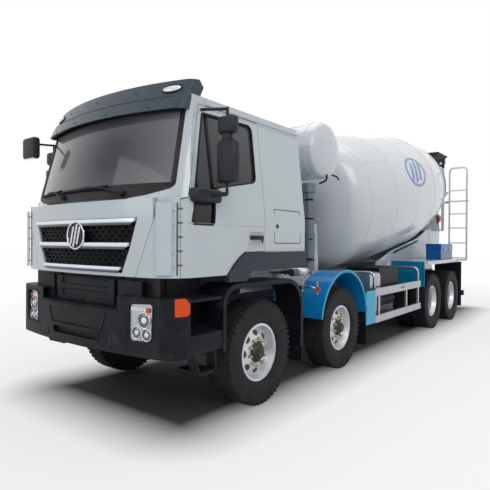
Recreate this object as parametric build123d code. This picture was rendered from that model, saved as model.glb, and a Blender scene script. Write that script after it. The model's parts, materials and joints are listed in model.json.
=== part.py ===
"""Concrete mixer truck, 8x4 with a cab over the engine, as separate named sub-parts.

Millimetres, +Z up. The truck faces -Y and its left side is +X. Pieces are drawn with y = 0 at the
first axle and z = 0 on the ground, and are moved by ROW_SHIFT on export, so that the origin of the
written model is the middle of the truck's footprint.
"""
import os
from math import atan2, cos, degrees, hypot, radians, sin, tan

from build123d import *

# ---- overall sizes ----
FRONT_END = -1450.0
REAR_END = 9560.0
BODY_HALF = 1245.0
BUMPER_BOW = 130.0
MIRROR_HALF = 1520.0
ROW_SHIFT = -(FRONT_END + REAR_END) / 2

# ---- wheels and axles ----
TYRE_R = 542.5
TYRE_W = 300.0
RIM_R = 286.0
RIM_FLANGE_R = 300.0
STEER_AXLES = (0.0, 1860.0)
DRIVE_AXLES = (5780.0, 7130.0)
STEER_WHEEL_X = 1040.0
TWIN_OUTER_X = 1095.0
TWIN_GAP = 36.0
TWIN_INNER_X = TWIN_OUTER_X - TYRE_W - TWIN_GAP
KINGPIN_X = 820.0
SPINDLE_R = 45.0
RUNNING = 0.5
SEAT = 0.3
HAND_HOLES = 8

# ---- chassis ----
RAIL_HALF = 430.0
RAIL_H = 300.0
RAIL_TOP = 1060.0
RAIL_FLANGE = 80.0
RAIL_WEB = 9.0
RAIL_FRONT = -1120.0
RAIL_REAR = 8450.0
TOW_X, TOW_Z = 160.0, 100.0
TOW_HEIGHT = 910.0
TOW_HOLE_R = 10.5
TAIL_LAMP_Y = 8515.0
GEARBOX_REAR = 1870.0
SUBFRAME_H = 150.0
SUBFRAME_TOP = RAIL_TOP + SUBFRAME_H
SUBFRAME_FRONT = 1450.0
STAND_HALF = 552.0

# ---- cab ----
CAB_HALF = 1220.0
CAB_ROOF_HALF = 1100.0
CAB_BOTTOM = 1380.0
CAB_TOP = 3050.0
CAB_FRONT = -1400.0
CAB_REAR = 800.0
CAB_BOW = 100.0
CAB_CORNER_R = 290.0
CAB_WALL = 45.0
COWL_Z = 2070.0
SCREEN_RAKE = 0.27
WAIST_Z = 1950.0
DOOR_FRONT = -1190.0
DOOR_REAR = 0.0
DOOR_TOP = 2935.0
SHUT_GAP = 7.0
TILT_PIVOT = (-1200.0, 1050.0)
DOOR_HINGE = (1178.0, -1203.0)
HINGE_R = 9.0
HINGE_HEIGHTS = (1480.0, 1880.0)
PIVOT_R = 22.0
CAB_ARM_IN = 486.0
CAB_ARM_OUT = 522.0
FLAP_HINGE = (-1407.0, 2066.0)
FLAP_HINGE_X = (-190.0, 150.0)

FENDER_SKIRT_X = 1228.0

# ---- drum, whose axis climbs towards the rear ----
DRUM_FRONT = (2750.0, 2290.0)
DRUM_SLOPE = 8.5
DRUM_WALL = 8.0
DRUM_HEAD_R = 550.0
DRUM_R = 1200.0
DRUM_MOUTH_R = 560.0
DRUM_LENGTH = 5900.0
RING_S = 5300.0
RING_R = 870.0
RING_W = 90.0
GEAR_STAND = (2180.0, 2560.0)
ROLLER_R = 125.0
ROLLER_ANGLE = 37.0
ROLLER_GAP = 0.5

# ---- chute ----
SWING_Y = 9040.0
CHUTE_HINGE_Z = 2030.0
CHUTE_R = 215.0
CHUTE_WALL = 5.0
CHUTE_LENGTH = 1130.0
CHUTE_SLOPE = 15.0
CHUTE_SEAT = 175.0
CHUTE_EYE = (-330.0, -80.0)
CYLINDER_FOOT = (-90.0, 1340.0)
CYLINDER_R = 32.0
CYLINDER_END = 320.0
ROD_R = 16.0
ROD_LENGTH = 356.0
PIN_R = 16.0


# ---------------------------------------------------------------- small helpers
def block(x0, x1, y0, y1, z0, z1):
    """A box between two corners."""
    return Pos((x0 + x1) / 2, (y0 + y1) / 2, (z0 + z1) / 2) * Box(x1 - x0, y1 - y0, z1 - z0)


def outline(points, radius=0.0):
    """A closed outline through points, every corner rounded alike."""
    face = make_face(Polyline(*points, close=True))
    return fillet(face.vertices(), radius) if radius else face


def along_x(face, x0, x1):
    """A (y, z) outline carried from x0 to x1."""
    return extrude(Plane.YZ.offset(x0) * face, x1 - x0, dir=(1, 0, 0))


def along_y(face, y0, y1):
    """An (x, z) outline carried from y0 to y1."""
    return extrude(Plane.XZ.offset(-y0) * face, y1 - y0, dir=(0, 1, 0))


def along_z(face, z0, z1):
    """An (x, y) outline carried from z0 to z1."""
    return extrude(Plane.XY.offset(z0) * face, z1 - z0, dir=(0, 0, 1))


def rod(start, end, radius):
    """A round bar from start to end."""
    a, b = Vector(*start), Vector(*end)
    return extrude(Plane(origin=a, z_dir=b - a) * Circle(radius), (b - a).length)


def tube(start, end, radius, wall):
    """A round pipe from start to end."""
    a, b = Vector(*start), Vector(*end)
    ring = Circle(radius) - Circle(radius - wall)
    return extrude(Plane(origin=a, z_dir=b - a) * ring, (b - a).length)


def bar(start, end, width, depth):
    """A flat bar from start to end; width is along y."""
    a, b = Vector(*start), Vector(*end)
    return extrude(Plane(origin=a, x_dir=(0, 1, 0), z_dir=b - a) * Rectangle(width, depth), (b - a).length)


def bent_pipe(points, radius, bend):
    """A round bar along straight runs joined by arcs of one bend radius."""
    path = FilletPolyline(*points, radius=bend)
    return sweep(Plane(origin=path @ 0, z_dir=path % 0) * Circle(radius), path=path)


def turned(points, centre=(0, 0, 0), axis="x"):
    """A solid of revolution; points are (along the axis, radius)."""
    if axis == "x":
        face = outline([(a, r) for a, r in points])
        return Pos(*centre) * revolve(face, Axis.X)
    face = Plane.YZ * outline([(a, r) for a, r in points])
    return Pos(*centre) * revolve(face, Axis.Y)


def mirrored(shape):
    """The same piece on the other side of the truck."""
    return mirror(shape, about=Plane.YZ)


def group(*shapes):
    """Several solids kept in one sub-part."""
    return Compound([s for shape in shapes for s in shape.solids()])


def both_sides(*shapes):
    """Pieces of the left side with their twins on the right."""
    return group(*shapes, *[mirrored(s) for s in shapes])


def bow_at(x, half, front, bow):
    """How far forward a bowed front reaches at x from the middle: y on its arc."""
    r = (half ** 2 + bow ** 2) / (2 * bow)
    return front + r - (r ** 2 - x ** 2) ** 0.5


def drum_place():
    """Frame at the drum's front head: local x is the truck's, local z runs back along the axis."""
    slope = radians(DRUM_SLOPE)
    return Plane(
        origin=(0, DRUM_FRONT[0], DRUM_FRONT[1]), x_dir=(1, 0, 0), z_dir=(0, cos(slope), sin(slope))
    )


def on_drum_axis(s):
    """(y, z) of the point s along the drum's axis."""
    slope = radians(DRUM_SLOPE)
    return DRUM_FRONT[0] + s * cos(slope), DRUM_FRONT[1] + s * sin(slope)


# ---------------------------------------------------------------- wheels
def tyre_ring():
    """One tyre about the x axis, its middle plane at x = 0."""
    half = TYRE_W / 2
    side = [
        (half - 48, RIM_R + 0.3),
        (half - 48, RIM_FLANGE_R + 3),
        (half - 30, RIM_FLANGE_R + 6),
        (half - 4, RIM_R + 80),
        (half, RIM_R + 125),
        (half - 12, TYRE_R - 50),
        (half - 30, TYRE_R - 12),
        (half - 46, TYRE_R),
    ]
    points = side + [(-x, r) for x, r in reversed(side)]
    return turned(points)


def rim_barrel(x_disc, bore, disc_t=16.0):
    """A wheel rim about the x axis with its flat disc at x_disc."""
    half = TYRE_W / 2 - 46
    wall = 12.0
    barrel = turned([
        (-half, RIM_R), (half, RIM_R), (half, RIM_FLANGE_R), (half + 14, RIM_FLANGE_R),
        (half + 14, RIM_R - wall), (40, RIM_R - wall - 30), (-40, RIM_R - wall - 30),
        (-half - 14, RIM_R - wall), (-half - 14, RIM_FLANGE_R), (-half, RIM_FLANGE_R),
    ])
    disc = turned([
        (x_disc - disc_t / 2, bore), (x_disc + disc_t / 2, bore), (x_disc + disc_t / 2, 150),
        (x_disc * 0.35 + disc_t / 2, RIM_R - 30), (x_disc * 0.35 - disc_t / 2, RIM_R - 30),
        (x_disc - disc_t / 2, 150),
    ])
    return barrel + disc


def hand_holes(x0, x1):
    """The ring of holes through a wheel disc."""
    ring_r = 196.0
    hole = Pos((x0 + x1) / 2, 0, ring_r) * Rot(0, 90, 0) * Cylinder(27, x1 - x0)
    return [Rot(360 / HAND_HOLES * i, 0, 0) * hole for i in range(HAND_HOLES)]


def steer_rim():
    """Front wheel: the disc stands out towards the outer face, with the hub through it."""
    rim = rim_barrel(75, SPINDLE_R + RUNNING)
    rim = rim - hand_holes(-20, 130)
    hub = turned([
        (-60, SPINDLE_R + RUNNING), (112, SPINDLE_R + RUNNING), (112, 0.01), (128, 0.01),
        (128, 62), (105, 80), (84, 86), (84, 100), (60, 100), (-60, 92),
    ])
    return rim + hub


def twin_rim(spread):
    """Two rims back to back on one hub; x = 0 at the outer wheel, the inner one at -spread."""
    outer = rim_barrel(-spread / 2 + 8, SPINDLE_R + 25 + RUNNING)
    inner = Pos(-spread, 0, 0) * mirror(rim_barrel(-spread / 2 + 8, SPINDLE_R + 25 + RUNNING), about=Plane.YZ)
    rims = outer + inner - hand_holes(-spread / 2 - 120, -spread / 2 + 120)
    hub = turned([
        (-spread / 2 - 100, SPINDLE_R + 25 + RUNNING), (20, SPINDLE_R + 25 + RUNNING), (20, 0.01), (34, 0.01),
        (34, 70), (10, 105), (-spread / 2 - 100, 110),
    ])
    return rims + hub


# ---------------------------------------------------------------- steering and axles
def knuckle():
    """Left stub axle about its kingpin: fork, spindle and brake back plate."""
    pin = (KINGPIN_X, 0, TYRE_R)
    fork = block(KINGPIN_X - 48, KINGPIN_X + 50, -55, 55, TYRE_R - 128, TYRE_R + 128)
    fork -= block(KINGPIN_X - 60, KINGPIN_X + 56 - 10, -60, 60, TYRE_R - 78, TYRE_R + 78)
    web = block(KINGPIN_X + 46, KINGPIN_X + 78, -70, 70, TYRE_R - 128, TYRE_R + 128)
    spindle = rod((KINGPIN_X + 70, 0, TYRE_R), (STEER_WHEEL_X + 108, 0, TYRE_R), SPINDLE_R)
    plate = rod((KINGPIN_X + 78, 0, TYRE_R), (KINGPIN_X + 92, 0, TYRE_R), 205)
    arm = block(KINGPIN_X - 20, KINGPIN_X + 20, 50, 250, TYRE_R - 128, TYRE_R - 98)
    return fork + web + spindle + plate + arm


def tie_rod(y):
    """Track rod behind an axle, between the eyes of the two steering arms."""
    z = TYRE_R - 150 - SEAT
    bar = rod((-KINGPIN_X, y + 225, z), (KINGPIN_X, y + 225, z), 19)
    eyes = [rod((s * KINGPIN_X, y + 225, z - 22), (s * KINGPIN_X, y + 225, z + 22), 32) for s in (-1, 1)]
    return bar + eyes


def leaf_pack(y, half, x, z_mid, rise, thick):
    """A leaf spring seen from the side: an arc, thick in the middle."""
    arc_low = ThreePointArc((y - half, z_mid + rise), (y, z_mid), (y + half, z_mid + rise))
    arc_top = ThreePointArc((y + half, z_mid + rise + 18), (y, z_mid + thick), (y - half, z_mid + rise + 18))
    ends = [Line(arc_low @ 1, arc_top @ 0), Line(arc_top @ 1, arc_low @ 0)]
    return along_x(make_face([arc_low, ends[0], arc_top, ends[1]]), x - 42, x + 42)


def front_axle(y):
    """Dropped beam with its spring packs and the eyes at the kingpins."""
    beam = along_y(outline([
        (-KINGPIN_X + 40, TYRE_R - 60), (-620, TYRE_R - 60), (-500, 400), (500, 400), (620, TYRE_R - 60),
        (KINGPIN_X - 40, TYRE_R - 60), (KINGPIN_X - 40, TYRE_R + 60), (580, TYRE_R + 60), (470, 500),
        (-470, 500), (-580, TYRE_R + 60), (-KINGPIN_X + 40, TYRE_R + 60),
    ]), y - 50, y + 50)
    axle = beam
    for s in (-1, 1):
        reach = 78 - SEAT
        axle += rod((s * KINGPIN_X, y, TYRE_R - reach), (s * KINGPIN_X, y, TYRE_R + reach), 44)
        axle += leaf_pack(y, 760, s * RAIL_HALF, 498, 150, 90)
        for end in (-1, 1):
            axle += block(s * RAIL_HALF - 42, s * RAIL_HALF + 42, y + end * 745 - 35, y + end * 745 + 35,
                          650, RAIL_TOP - RAIL_H)
    return axle


def drive_axle(y):
    """Rear axle housing: round tubes, spindles for the twin wheels and the bowl in the middle."""
    housing = rod((-700, y, TYRE_R), (700, y, TYRE_R), 85)
    spindle = rod((-TWIN_OUTER_X - 12, y, TYRE_R), (TWIN_OUTER_X + 12, y, TYRE_R), SPINDLE_R + 25)
    bowl = turned([(-235, 0.01), (-200, 120), (-120, 205), (0, 235), (120, 205), (200, 120), (235, 0.01)],
                  (0, y, TYRE_R))
    nose = rod((0, y, TYRE_R + 30), (0, y - 330, TYRE_R + 60), 90)
    return housing + spindle + bowl + nose


def rear_bogie():
    """Two drive axles, the leaf packs that carry both on a trunnion, and the prop shafts."""
    mid = sum(DRIVE_AXLES) / 2
    half = (DRIVE_AXLES[1] - DRIVE_AXLES[0]) / 2
    body = drive_axle(DRIVE_AXLES[0]) + drive_axle(DRIVE_AXLES[1])
    trunnion = rod((-530, mid, 560), (530, mid, 560), 60)
    for s in (-1, 1):
        x = s * 480
        pack = leaf_pack(mid, half + 90, x, TYRE_R + 60, 30, 110)
        hanger = block(x - 45, x + 45, mid - 120, mid + 120, 480, TYRE_R + 100)
        web = RAIL_HALF + SEAT
        hanger += block(min(s * web, s * (web + 12)), max(s * web, s * (web + 12)), mid - 150, mid + 150,
                        560, RAIL_TOP - 60)
        body += pack + hanger
    body += trunnion
    shaft = rod((0, GEARBOX_REAR + 4.3 + SEAT, 880), (0, DRIVE_AXLES[0] - 325, TYRE_R + 60), 55)
    link = rod((0, DRIVE_AXLES[0] + 225, TYRE_R + 40), (0, DRIVE_AXLES[1] - 325, TYRE_R + 60), 50)
    return group(body + shaft + link)


# ---------------------------------------------------------------- chassis
def chassis_frame():
    """Two channel rails with cross-members, the front beam and the rear underrun bar."""
    low = RAIL_TOP - RAIL_H
    channel = outline([
        (RAIL_HALF, low), (RAIL_HALF, RAIL_TOP), (RAIL_HALF - RAIL_FLANGE, RAIL_TOP),
        (RAIL_HALF - RAIL_FLANGE, RAIL_TOP - RAIL_WEB), (RAIL_HALF - RAIL_WEB, RAIL_TOP - RAIL_WEB),
        (RAIL_HALF - RAIL_WEB, low + RAIL_WEB), (RAIL_HALF - RAIL_FLANGE, low + RAIL_WEB),
        (RAIL_HALF - RAIL_FLANGE, low),
    ])
    rail = along_y(channel, RAIL_FRONT, RAIL_REAR)
    frame = rail + mirrored(rail)
    inner = RAIL_HALF - RAIL_WEB
    for y in (-1080, 2100, 2900, 3900, 4900, 6455, 7800):
        frame += block(-inner, inner, y - 40, y + 40, low + 180, low + 260)
    frame += block(-RAIL_HALF, RAIL_HALF, RAIL_REAR, RAIL_REAR + 60, low, RAIL_TOP)
    for dx in (-TOW_X / 2, TOW_X / 2):
        for dz in (-TOW_Z / 2, TOW_Z / 2):
            at = (TOW_HEIGHT + dz)
            frame -= rod((dx, RAIL_REAR - 10, at), (dx, RAIL_REAR + 70, at), TOW_HOLE_R)
    frame += block(-1180, 1180, RAIL_REAR - 60, RAIL_REAR + 40, 430, 550)
    for s in (-1, 1):
        frame += block(s * 400 - 30, s * 400 + 30, RAIL_REAR - 60, RAIL_REAR + 40, 540, low + 60)
        inside = bow_at(RAIL_HALF, BODY_HALF - 45, FRONT_END + 60, BUMPER_BOW)
        frame += block(s * 390 - 40, s * 390 + 40, inside + SEAT, RAIL_FRONT, 900, 1030)
        frame += block(s * 455 - 25, s * 455 + 25, TILT_PIVOT[0] - 45, -1040, 900, TILT_PIVOT[1] + 35)
        frame += rod((s * 440, *TILT_PIVOT), (s * CAB_ARM_OUT, *TILT_PIVOT), PIVOT_R)
        frame += block(s * 765 - 335, s * 765 + 335, RAIL_REAR + 40, TAIL_LAMP_Y - SEAT, 850, 880)
    return frame


def mixer_subframe():
    """Box rails on the chassis, the front gearbox stand and the rear stand for the rollers."""
    frame = None
    for s in (-1, 1):
        side = block(s * RAIL_HALF - 40 * (1 + s), s * RAIL_HALF + 40 * (1 - s),
                     SUBFRAME_FRONT, RAIL_REAR, RAIL_TOP, SUBFRAME_TOP)
        frame = side if frame is None else frame + side
    for y in (1800, 3300, 4600, 5700, 6900, 8350):
        frame += block(-RAIL_HALF, RAIL_HALF, y - 40, y + 40, RAIL_TOP + 30, SUBFRAME_TOP - 20)
    (front, rear), (top0, top1) = GEAR_STAND, [gear_stand_top(y) for y in GEAR_STAND]
    stand = outline([(1700, SUBFRAME_TOP), (2620, SUBFRAME_TOP), (rear, top1), (front, top0)])
    for s in (-1, 1):
        frame += along_x(stand, s * 390 - 12, s * 390 + 12)
    frame += along_x(outline([(front, top0 - 30), (rear, top1 - 28), (rear, top1), (front, top0)]), -402, 402)
    rear = outline([(5000, SUBFRAME_TOP), (8560, SUBFRAME_TOP), (8640, 2000), (7560, 2000), (6900, 1760)])
    for s in (-1, 1):
        frame += along_x(rear, s * 540 - 12, s * 540 + 12)
        frame += block(min(s * 350, s * 552), max(s * 350, s * 552), 5000, 8500, SUBFRAME_TOP - 12, SUBFRAME_TOP)
    frame += block(-552, 552, 7560, 8640, 1980, 2000)
    frame += block(-552, 552, 8560, 8580, SUBFRAME_TOP, 1990)
    boss = rod((0, SWING_Y, 1500), (0, SWING_Y, 1720), 85)
    boss -= rod((0, SWING_Y, 1490), (0, SWING_Y, 1730), 50 + RUNNING)
    frame += block(-60, 60, 8570, SWING_Y - 70, 1510, 1700) + boss
    frame += roller_brackets()
    return frame


def roller_centre(side):
    """Where a support roller's axle crosses its middle plane."""
    y, z = on_drum_axis(RING_S)
    reach = RING_R + ROLLER_R + ROLLER_GAP
    slope = radians(DRUM_SLOPE)
    drop = reach * cos(radians(ROLLER_ANGLE))
    return side * reach * sin(radians(ROLLER_ANGLE)), y + drop * sin(slope), z - drop * cos(slope)


def roller_brackets():
    """Pairs of cheeks that hold the two support rollers."""
    parts = []
    slope = radians(DRUM_SLOPE)
    for s in (-1, 1):
        x, y, z = roller_centre(s)
        for side in (-1, 1):
            yc = y + side * 100
            cheek = along_y(outline([(x - 80, 1990), (x + 80, 1990), (x + 45, z + 30), (x - 45, z + 30)]),
                            yc - 10, yc + 10)
            parts.append(cheek)
        step = Vector(0, cos(slope), sin(slope)) * 118
        parts.append(rod((x, y - step.Y, z - step.Z), (x, y + step.Y, z + step.Z), 24))
    return parts


def support_roller(side):
    """A roller under the drum's ring."""
    slope = radians(DRUM_SLOPE)
    centre = Vector(*roller_centre(side))
    half = Vector(0, cos(slope), sin(slope)) * 62
    return tube(tuple(centre - half), tuple(centre + half), ROLLER_R, ROLLER_R - 24 - RUNNING)


def drum_gearbox():
    """Planetary gearbox on the front stand, with its motor ahead of it."""
    place = drum_place()
    parts = []
    for s0, s1, r in ((-560, -330, 160), (-335, -130, 265), (-135, -18 - SEAT, 225)):
        parts.append(extrude(place.offset(s0) * Circle(r), s1 - s0))
    foot = along_x(outline([(y, gear_stand_top(y) + SEAT) for y in (2430, 2555)] + [(2555, 2120), (2430, 2120)]),
                   -220, 220)
    return parts[0] + parts[1] + parts[2] + foot


def gear_stand_top(y):
    """Height of the front stand's sloping top plate."""
    return on_drum_axis(-330)[1] - 295 + (y - GEAR_STAND[0]) * 40 / (GEAR_STAND[1] - GEAR_STAND[0])


def engine_block():
    """The engine and its gearbox as one plain block under the cab."""
    engine = block(-330, 330, -620, 720, 640, 1600) + block(-230, 230, 720, GEARBOX_REAR, 700, 1040)
    feet = RAIL_HALF - RAIL_FLANGE - SEAT
    for y in (-480, 560):
        engine += block(-feet, feet, y - 60, y + 60, RAIL_TOP - 60, RAIL_TOP)
    return engine


def front_bumper():
    """Bumper shell with its lower grille slot, step recess and lamp pockets."""
    bottom, top = 700.0, 1210.0
    outer = plan_outline(BODY_HALF, FRONT_END, BUMPER_BOW, 200, -1080)
    inner = plan_outline(BODY_HALF - 45, FRONT_END + 60, BUMPER_BOW, 160, -1070)
    shell = along_z(outer, bottom, top) - along_z(inner, bottom - 5, top - 30)
    shell -= block(-1000, 1000, FRONT_END + 160, -1060, top - 40, top + 10)
    for s in (-1, 1):
        shell -= block(s * 504 - 26, s * 504 + 26, TILT_PIVOT[0] - 162, -1060, top - 40, top + 10)
    shell -= block(-560, 560, FRONT_END - 50, FRONT_END + 95, 1060, 1180)
    shell += block(-600, 600, FRONT_END + 80, FRONT_END + 100, 1040, 1190)
    shell -= block(-430, 430, FRONT_END - 50, FRONT_END + 95, 790, 880)
    for s in (-1, 1):
        shell -= along_y(lamp_outline(s, 0), FRONT_END - 50, FRONT_END + 230)
    return shell


def lamp_outline(side, clearance):
    """Headlamp face in (x, z): a rounded block by the bumper's corner."""
    x0, x1 = 744 + clearance, 1010 - clearance
    return outline([(side * x0, 820 + clearance), (side * x1, 835 + clearance),
                    (side * (x1 + 15), 1166 - clearance), (side * x0, 1150 - clearance)], 30)


def plan_outline(half, front, bow, corner, rear):
    """A cab or bumper seen from above: bowed front, rounded corners, straight sides."""
    nose = ThreePointArc((-half, front + bow), (0, front), (half, front + bow))
    sides = Polyline((half, front + bow), (half, rear), (-half, rear), (-half, front + bow))
    face = make_face([nose, sides])
    corners = [v for v in face.vertices() if abs(v.Y - front - bow) < 1]
    return fillet(corners, corner)


def lamps():
    """Headlamps in the bumper's pockets and tail lamps on the rear beam."""
    parts = []
    for s in (-1, 1):
        front = along_y(lamp_outline(s, 0.3), FRONT_END + 10, FRONT_END + 220)
        skin = along_z(plan_outline(BODY_HALF - 12, FRONT_END + 12, BUMPER_BOW, 195, -1090), 700, 1210)
        parts.append(front & skin)
        parts.append(block(min(s * 640, s * 1100), max(s * 640, s * 1100), TAIL_LAMP_Y, TAIL_LAMP_Y + 45,
                           800, 930))
    return group(*parts)


def steps_and_mudguards():
    """Black plastics: the steps below the doors, the first axle's mudguards and the flaps."""
    steps = block(900, 1240, -1080 + SEAT, -690, 330, 1200)
    for z in (1180, 900, 600):
        steps -= block(960, 1260, -1030, -725, z - 230, z - 20)
    steps -= block(880, 960 - 30, -1030, -725, 340, 1170)
    arc_r, guard_r = 720.0, 702.0
    guard = arch_band((0, TYRE_R + 40), arc_r, guard_r, -62, 92)
    guards = along_x(guard, 880, 1240)
    flap = block(880, 1240, 690, 710, 320, 640)
    arm = block(RAIL_HALF + SEAT, 900, 575, 625, 945, 985)
    rear_flaps = block(640, 1240, 7940, 7955, 230, 1262)
    rear_flaps += block(RAIL_HALF + SEAT, 700, 7925, 7945, 930, 990)
    second = block(860, FENDER_SKIRT_X - SEAT, 2560, 2575, 200, 700)
    return both_sides(steps, guards + flap + arm, rear_flaps, second)


def arch_band(centre, r_out, r_in, start, end):
    """An arch seen from the side: degrees from straight up, positive towards the rear."""
    def at(r, a):
        return centre[0] + r * sin(radians(a)), centre[1] + r * cos(radians(a))
    mid = (start + end) / 2
    outer = ThreePointArc(at(r_out, start), at(r_out, mid), at(r_out, end))
    inner = ThreePointArc(at(r_in, end), at(r_in, mid), at(r_in, start))
    return make_face([outer, Line(outer @ 1, inner @ 0), inner, Line(inner @ 1, outer @ 0)])


def blue_fenders():
    """Half-round fenders of the second axle, and the deck over the drive wheels with its toolbox."""
    centre = (STEER_AXLES[1], TYRE_R + 95)
    arch = along_x(arch_band(centre, 672, 664, -81, 86), 850, BODY_HALF)
    lip = along_x(arch_band(centre, 690, 664, -81, 86), BODY_HALF - 8, BODY_HALF)
    skirt = block(FENDER_SKIRT_X, BODY_HALF, 2524, 2860, 490, 980)
    fender = arch + lip + skirt
    for dy in (-578, 578):
        y = centre[0] + dy
        fender += block(RAIL_HALF + SEAT, 880, y - 20, y + 20, 950, 990)
    deck = block(600, BODY_HALF, 5200, 7680, 1270, 1340)
    deck -= block(590, BODY_HALF - 8, 5210, 7690, 1260, 1328)
    deck += block(600, BODY_HALF, 5200, 5212, 860, 1330)
    for y in (5600, 6500, 7400):
        deck += block(STAND_HALF + SEAT, 700, y - 25, y + 25, 1300, 1332)
    box = along_x(outline([(5600, 1340), (7540, 1340), (7540, 1560), (7430, 1670), (5600, 1670)]), 760, 1150)
    return group(fender, mirrored(fender), deck + box, mirrored(deck))


def battery_and_air_tanks():
    """Battery box on the left, with the brake system's air tanks under it."""
    box = block(560, 1120, 3290, 4130, 970, 1290)
    tray = block(430, 560, 3400, 4000, 980, 1020)
    tanks = [rod((x, 3330, 730), (x, 4250, 730), 115) for x in (620, 900)]
    hangers = [block(430, 900, y - 20, y + 20, 848, 872) for y in (3500, 4050)]
    bottles = tanks[0] + tanks[1] + hangers[0] + hangers[1]
    for y in (3500, 4050):
        for x in (620, 900):
            bottles += block(x - 25, x + 25, y - 20, y + 20, 840, 870)
    return group(box + tray, bottles)


def side_tanks():
    """Aluminium tank beside the battery box, and the fuel tank on the right."""
    small = along_y(outline([(500, 560), (1150, 560), (1150, 1230), (500, 1230)], 70), 2860, 3270)
    small += block(430, 510, 2920, 3210, 800, 1000)
    fuel = along_y(outline([(-1150, 520), (-520, 520), (-520, 1150), (-1150, 1150)], 110), 2900, 4200)
    fuel += block(-530, -430, 3000, 4100, 820, 980)
    return group(small, fuel)


def side_guards():
    """Aluminium guard rails between the second axle and the bogie, on posts and arms."""
    rails = [block(1215, 1240, 2866, 4980, z0, z1) for z0, z1 in ((880, 1000), (480, 590))]
    posts = [block(1185, 1215, y - 30, y + 30, 480, 1000) for y in (4300, 4930)]
    arms = [block(430, 1215, y - 30, y + 30, 900, 940) for y in (4300, 4930)]
    guard = rails[0] + rails[1] + posts[0] + posts[1] + arms[0] + arms[1]
    far_arms = [block(1150, 1215, 3040, 3100, 900, 940)]
    guard += far_arms[0] + block(1185, 1215, 3040, 3100, 480, 1000)
    return both_sides(guard)


def intake_stack():
    """Air intake behind the cab on the left: a pipe up to a cap, over a slanted hose."""
    pipe = rod((1000, 1290, 1800), (1000, 1270, 2430), 62)
    hose = rod((1000, 1290, 1810), (960, 1345, 1330), 75)
    cap = rod((1000, 1270, 2330), (1000, 1270, 2440), 90)
    foot = block(420, 1000, 1320, 1370, 1280, 1340) + block(430, 445, 1306, 1390, 900, 1340)
    pipes = pipe + hose + cap + foot
    return pipes + rod((1000, 860, 1325), (985, 1300, 1325), 45)


def water_tank():
    """Water tank across the truck behind the cab, on its own saddle and posts."""
    y, z, r = 1560.0, 2900.0, 370.0
    body = rod((-830, y, z), (830, y, z), r)
    cap = turned([(0, 0.01), (120, 0.01), (105, 180), (60, 300), (0, r)], (830, y, z))
    tank = body + cap + mirrored(cap)
    for s in (-1, 1):
        tank += block(s * 390 - 40, s * 390 + 40, y - 40, y + 40, SUBFRAME_TOP, z - 300)
        tank += block(s * 390 - 40, s * 390 + 40, y - 260, y + 260, z - 420, z - 300)
    return tank


# ---------------------------------------------------------------- drum and its feed
def drum_shell():
    """The drum: dished front head, front cone, barrel, two rear cones and the roller ring."""
    w = DRUM_WALL
    outer = [(0, 0.01), (0, DRUM_HEAD_R), (90, 850), (300, 1070), (1500, DRUM_R), (3300, DRUM_R),
             (4500, 1060), (DRUM_LENGTH, DRUM_MOUTH_R)]
    inner = [(DRUM_LENGTH, DRUM_MOUTH_R - w), (4500 - 2, 1060 - w), (3300 - 1, DRUM_R - w),
             (1500 + 1, DRUM_R - w), (300 + 5, 1070 - w), (90 + 8, 850 - 4), (w, DRUM_HEAD_R - 4), (w, 0.01)]
    place = drum_place()
    profile = Plane.XZ * outline([(r, s) for s, r in outer + inner])
    shell = revolve(profile, Axis.Z)
    ring_root = 770.0
    ring = revolve(Plane.XZ * outline([
        (ring_root, RING_S - RING_W / 2), (RING_R, RING_S - RING_W / 2), (RING_R, RING_S + RING_W / 2),
        (ring_root - 30, RING_S + RING_W / 2),
    ]), Axis.Z)
    flange = Pos(0, 0, -9) * Cylinder(300, 18)
    return place.location * (shell + ring + flange)


def feed_hopper():
    """Charging hopper over the mouth, the collecting funnel under it and the frame for both."""
    rim_z, neck_z = 4030.0, 3580.0
    rim = (-500, 500, 8660, REAR_END)
    neck = (-180, 180, 8720, 9080)
    def funnel(grow, over=0.0):
        low = Pos(0, (neck[2] + neck[3]) / 2, neck_z - over) * Rectangle(neck[1] * 2 + grow, neck[3] - neck[2] + grow)
        top = Pos(0, (rim[2] + rim[3]) / 2, rim_z + over) * Rectangle(rim[1] * 2 + grow, rim[3] - rim[2] + grow)
        return loft([low, top], ruled=True)
    hopper = funnel(0) - funnel(-16, 2)
    low = Pos(0, 8980, 2420) * Rectangle(420, 260)
    top = Pos(0, 8990, 3040) * Rectangle(1200, 640)
    low_in = Pos(0, 8980, 2410) * Rectangle(404, 244)
    top_in = Pos(0, 8990, 3045) * Rectangle(1184, 624)
    collector = loft([low, top], ruled=True) - loft([low_in, top_in], ruled=True)
    frame = None
    for s in (-1, 1):
        post = block(s * 620 - 30, s * 620 + 30, 8640, 8700, 2000, 3700)
        post += block(min(s * 470, s * 650), max(s * 470, s * 650), 8560, 8700, 2000, 2025)
        post += block(min(s * 480, s * 650), max(s * 480, s * 650), 8640, 8700, 3640, 3700)
        post += block(min(s * 300, s * 650), max(s * 300, s * 650), 8700, 8760, 3780, 3840)
        post += block(s * 620 - 30, s * 620 + 30, 8640, 8760, 3700, 3840)
        frame = post if frame is None else frame + post
    frame -= funnel(-8)
    frame += block(-620, 620, 8645, 8665, 3640, 3700) - block(-400, 400, 8600, 8700, 3600, 3720)
    return group(hopper + collector + frame)


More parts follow.
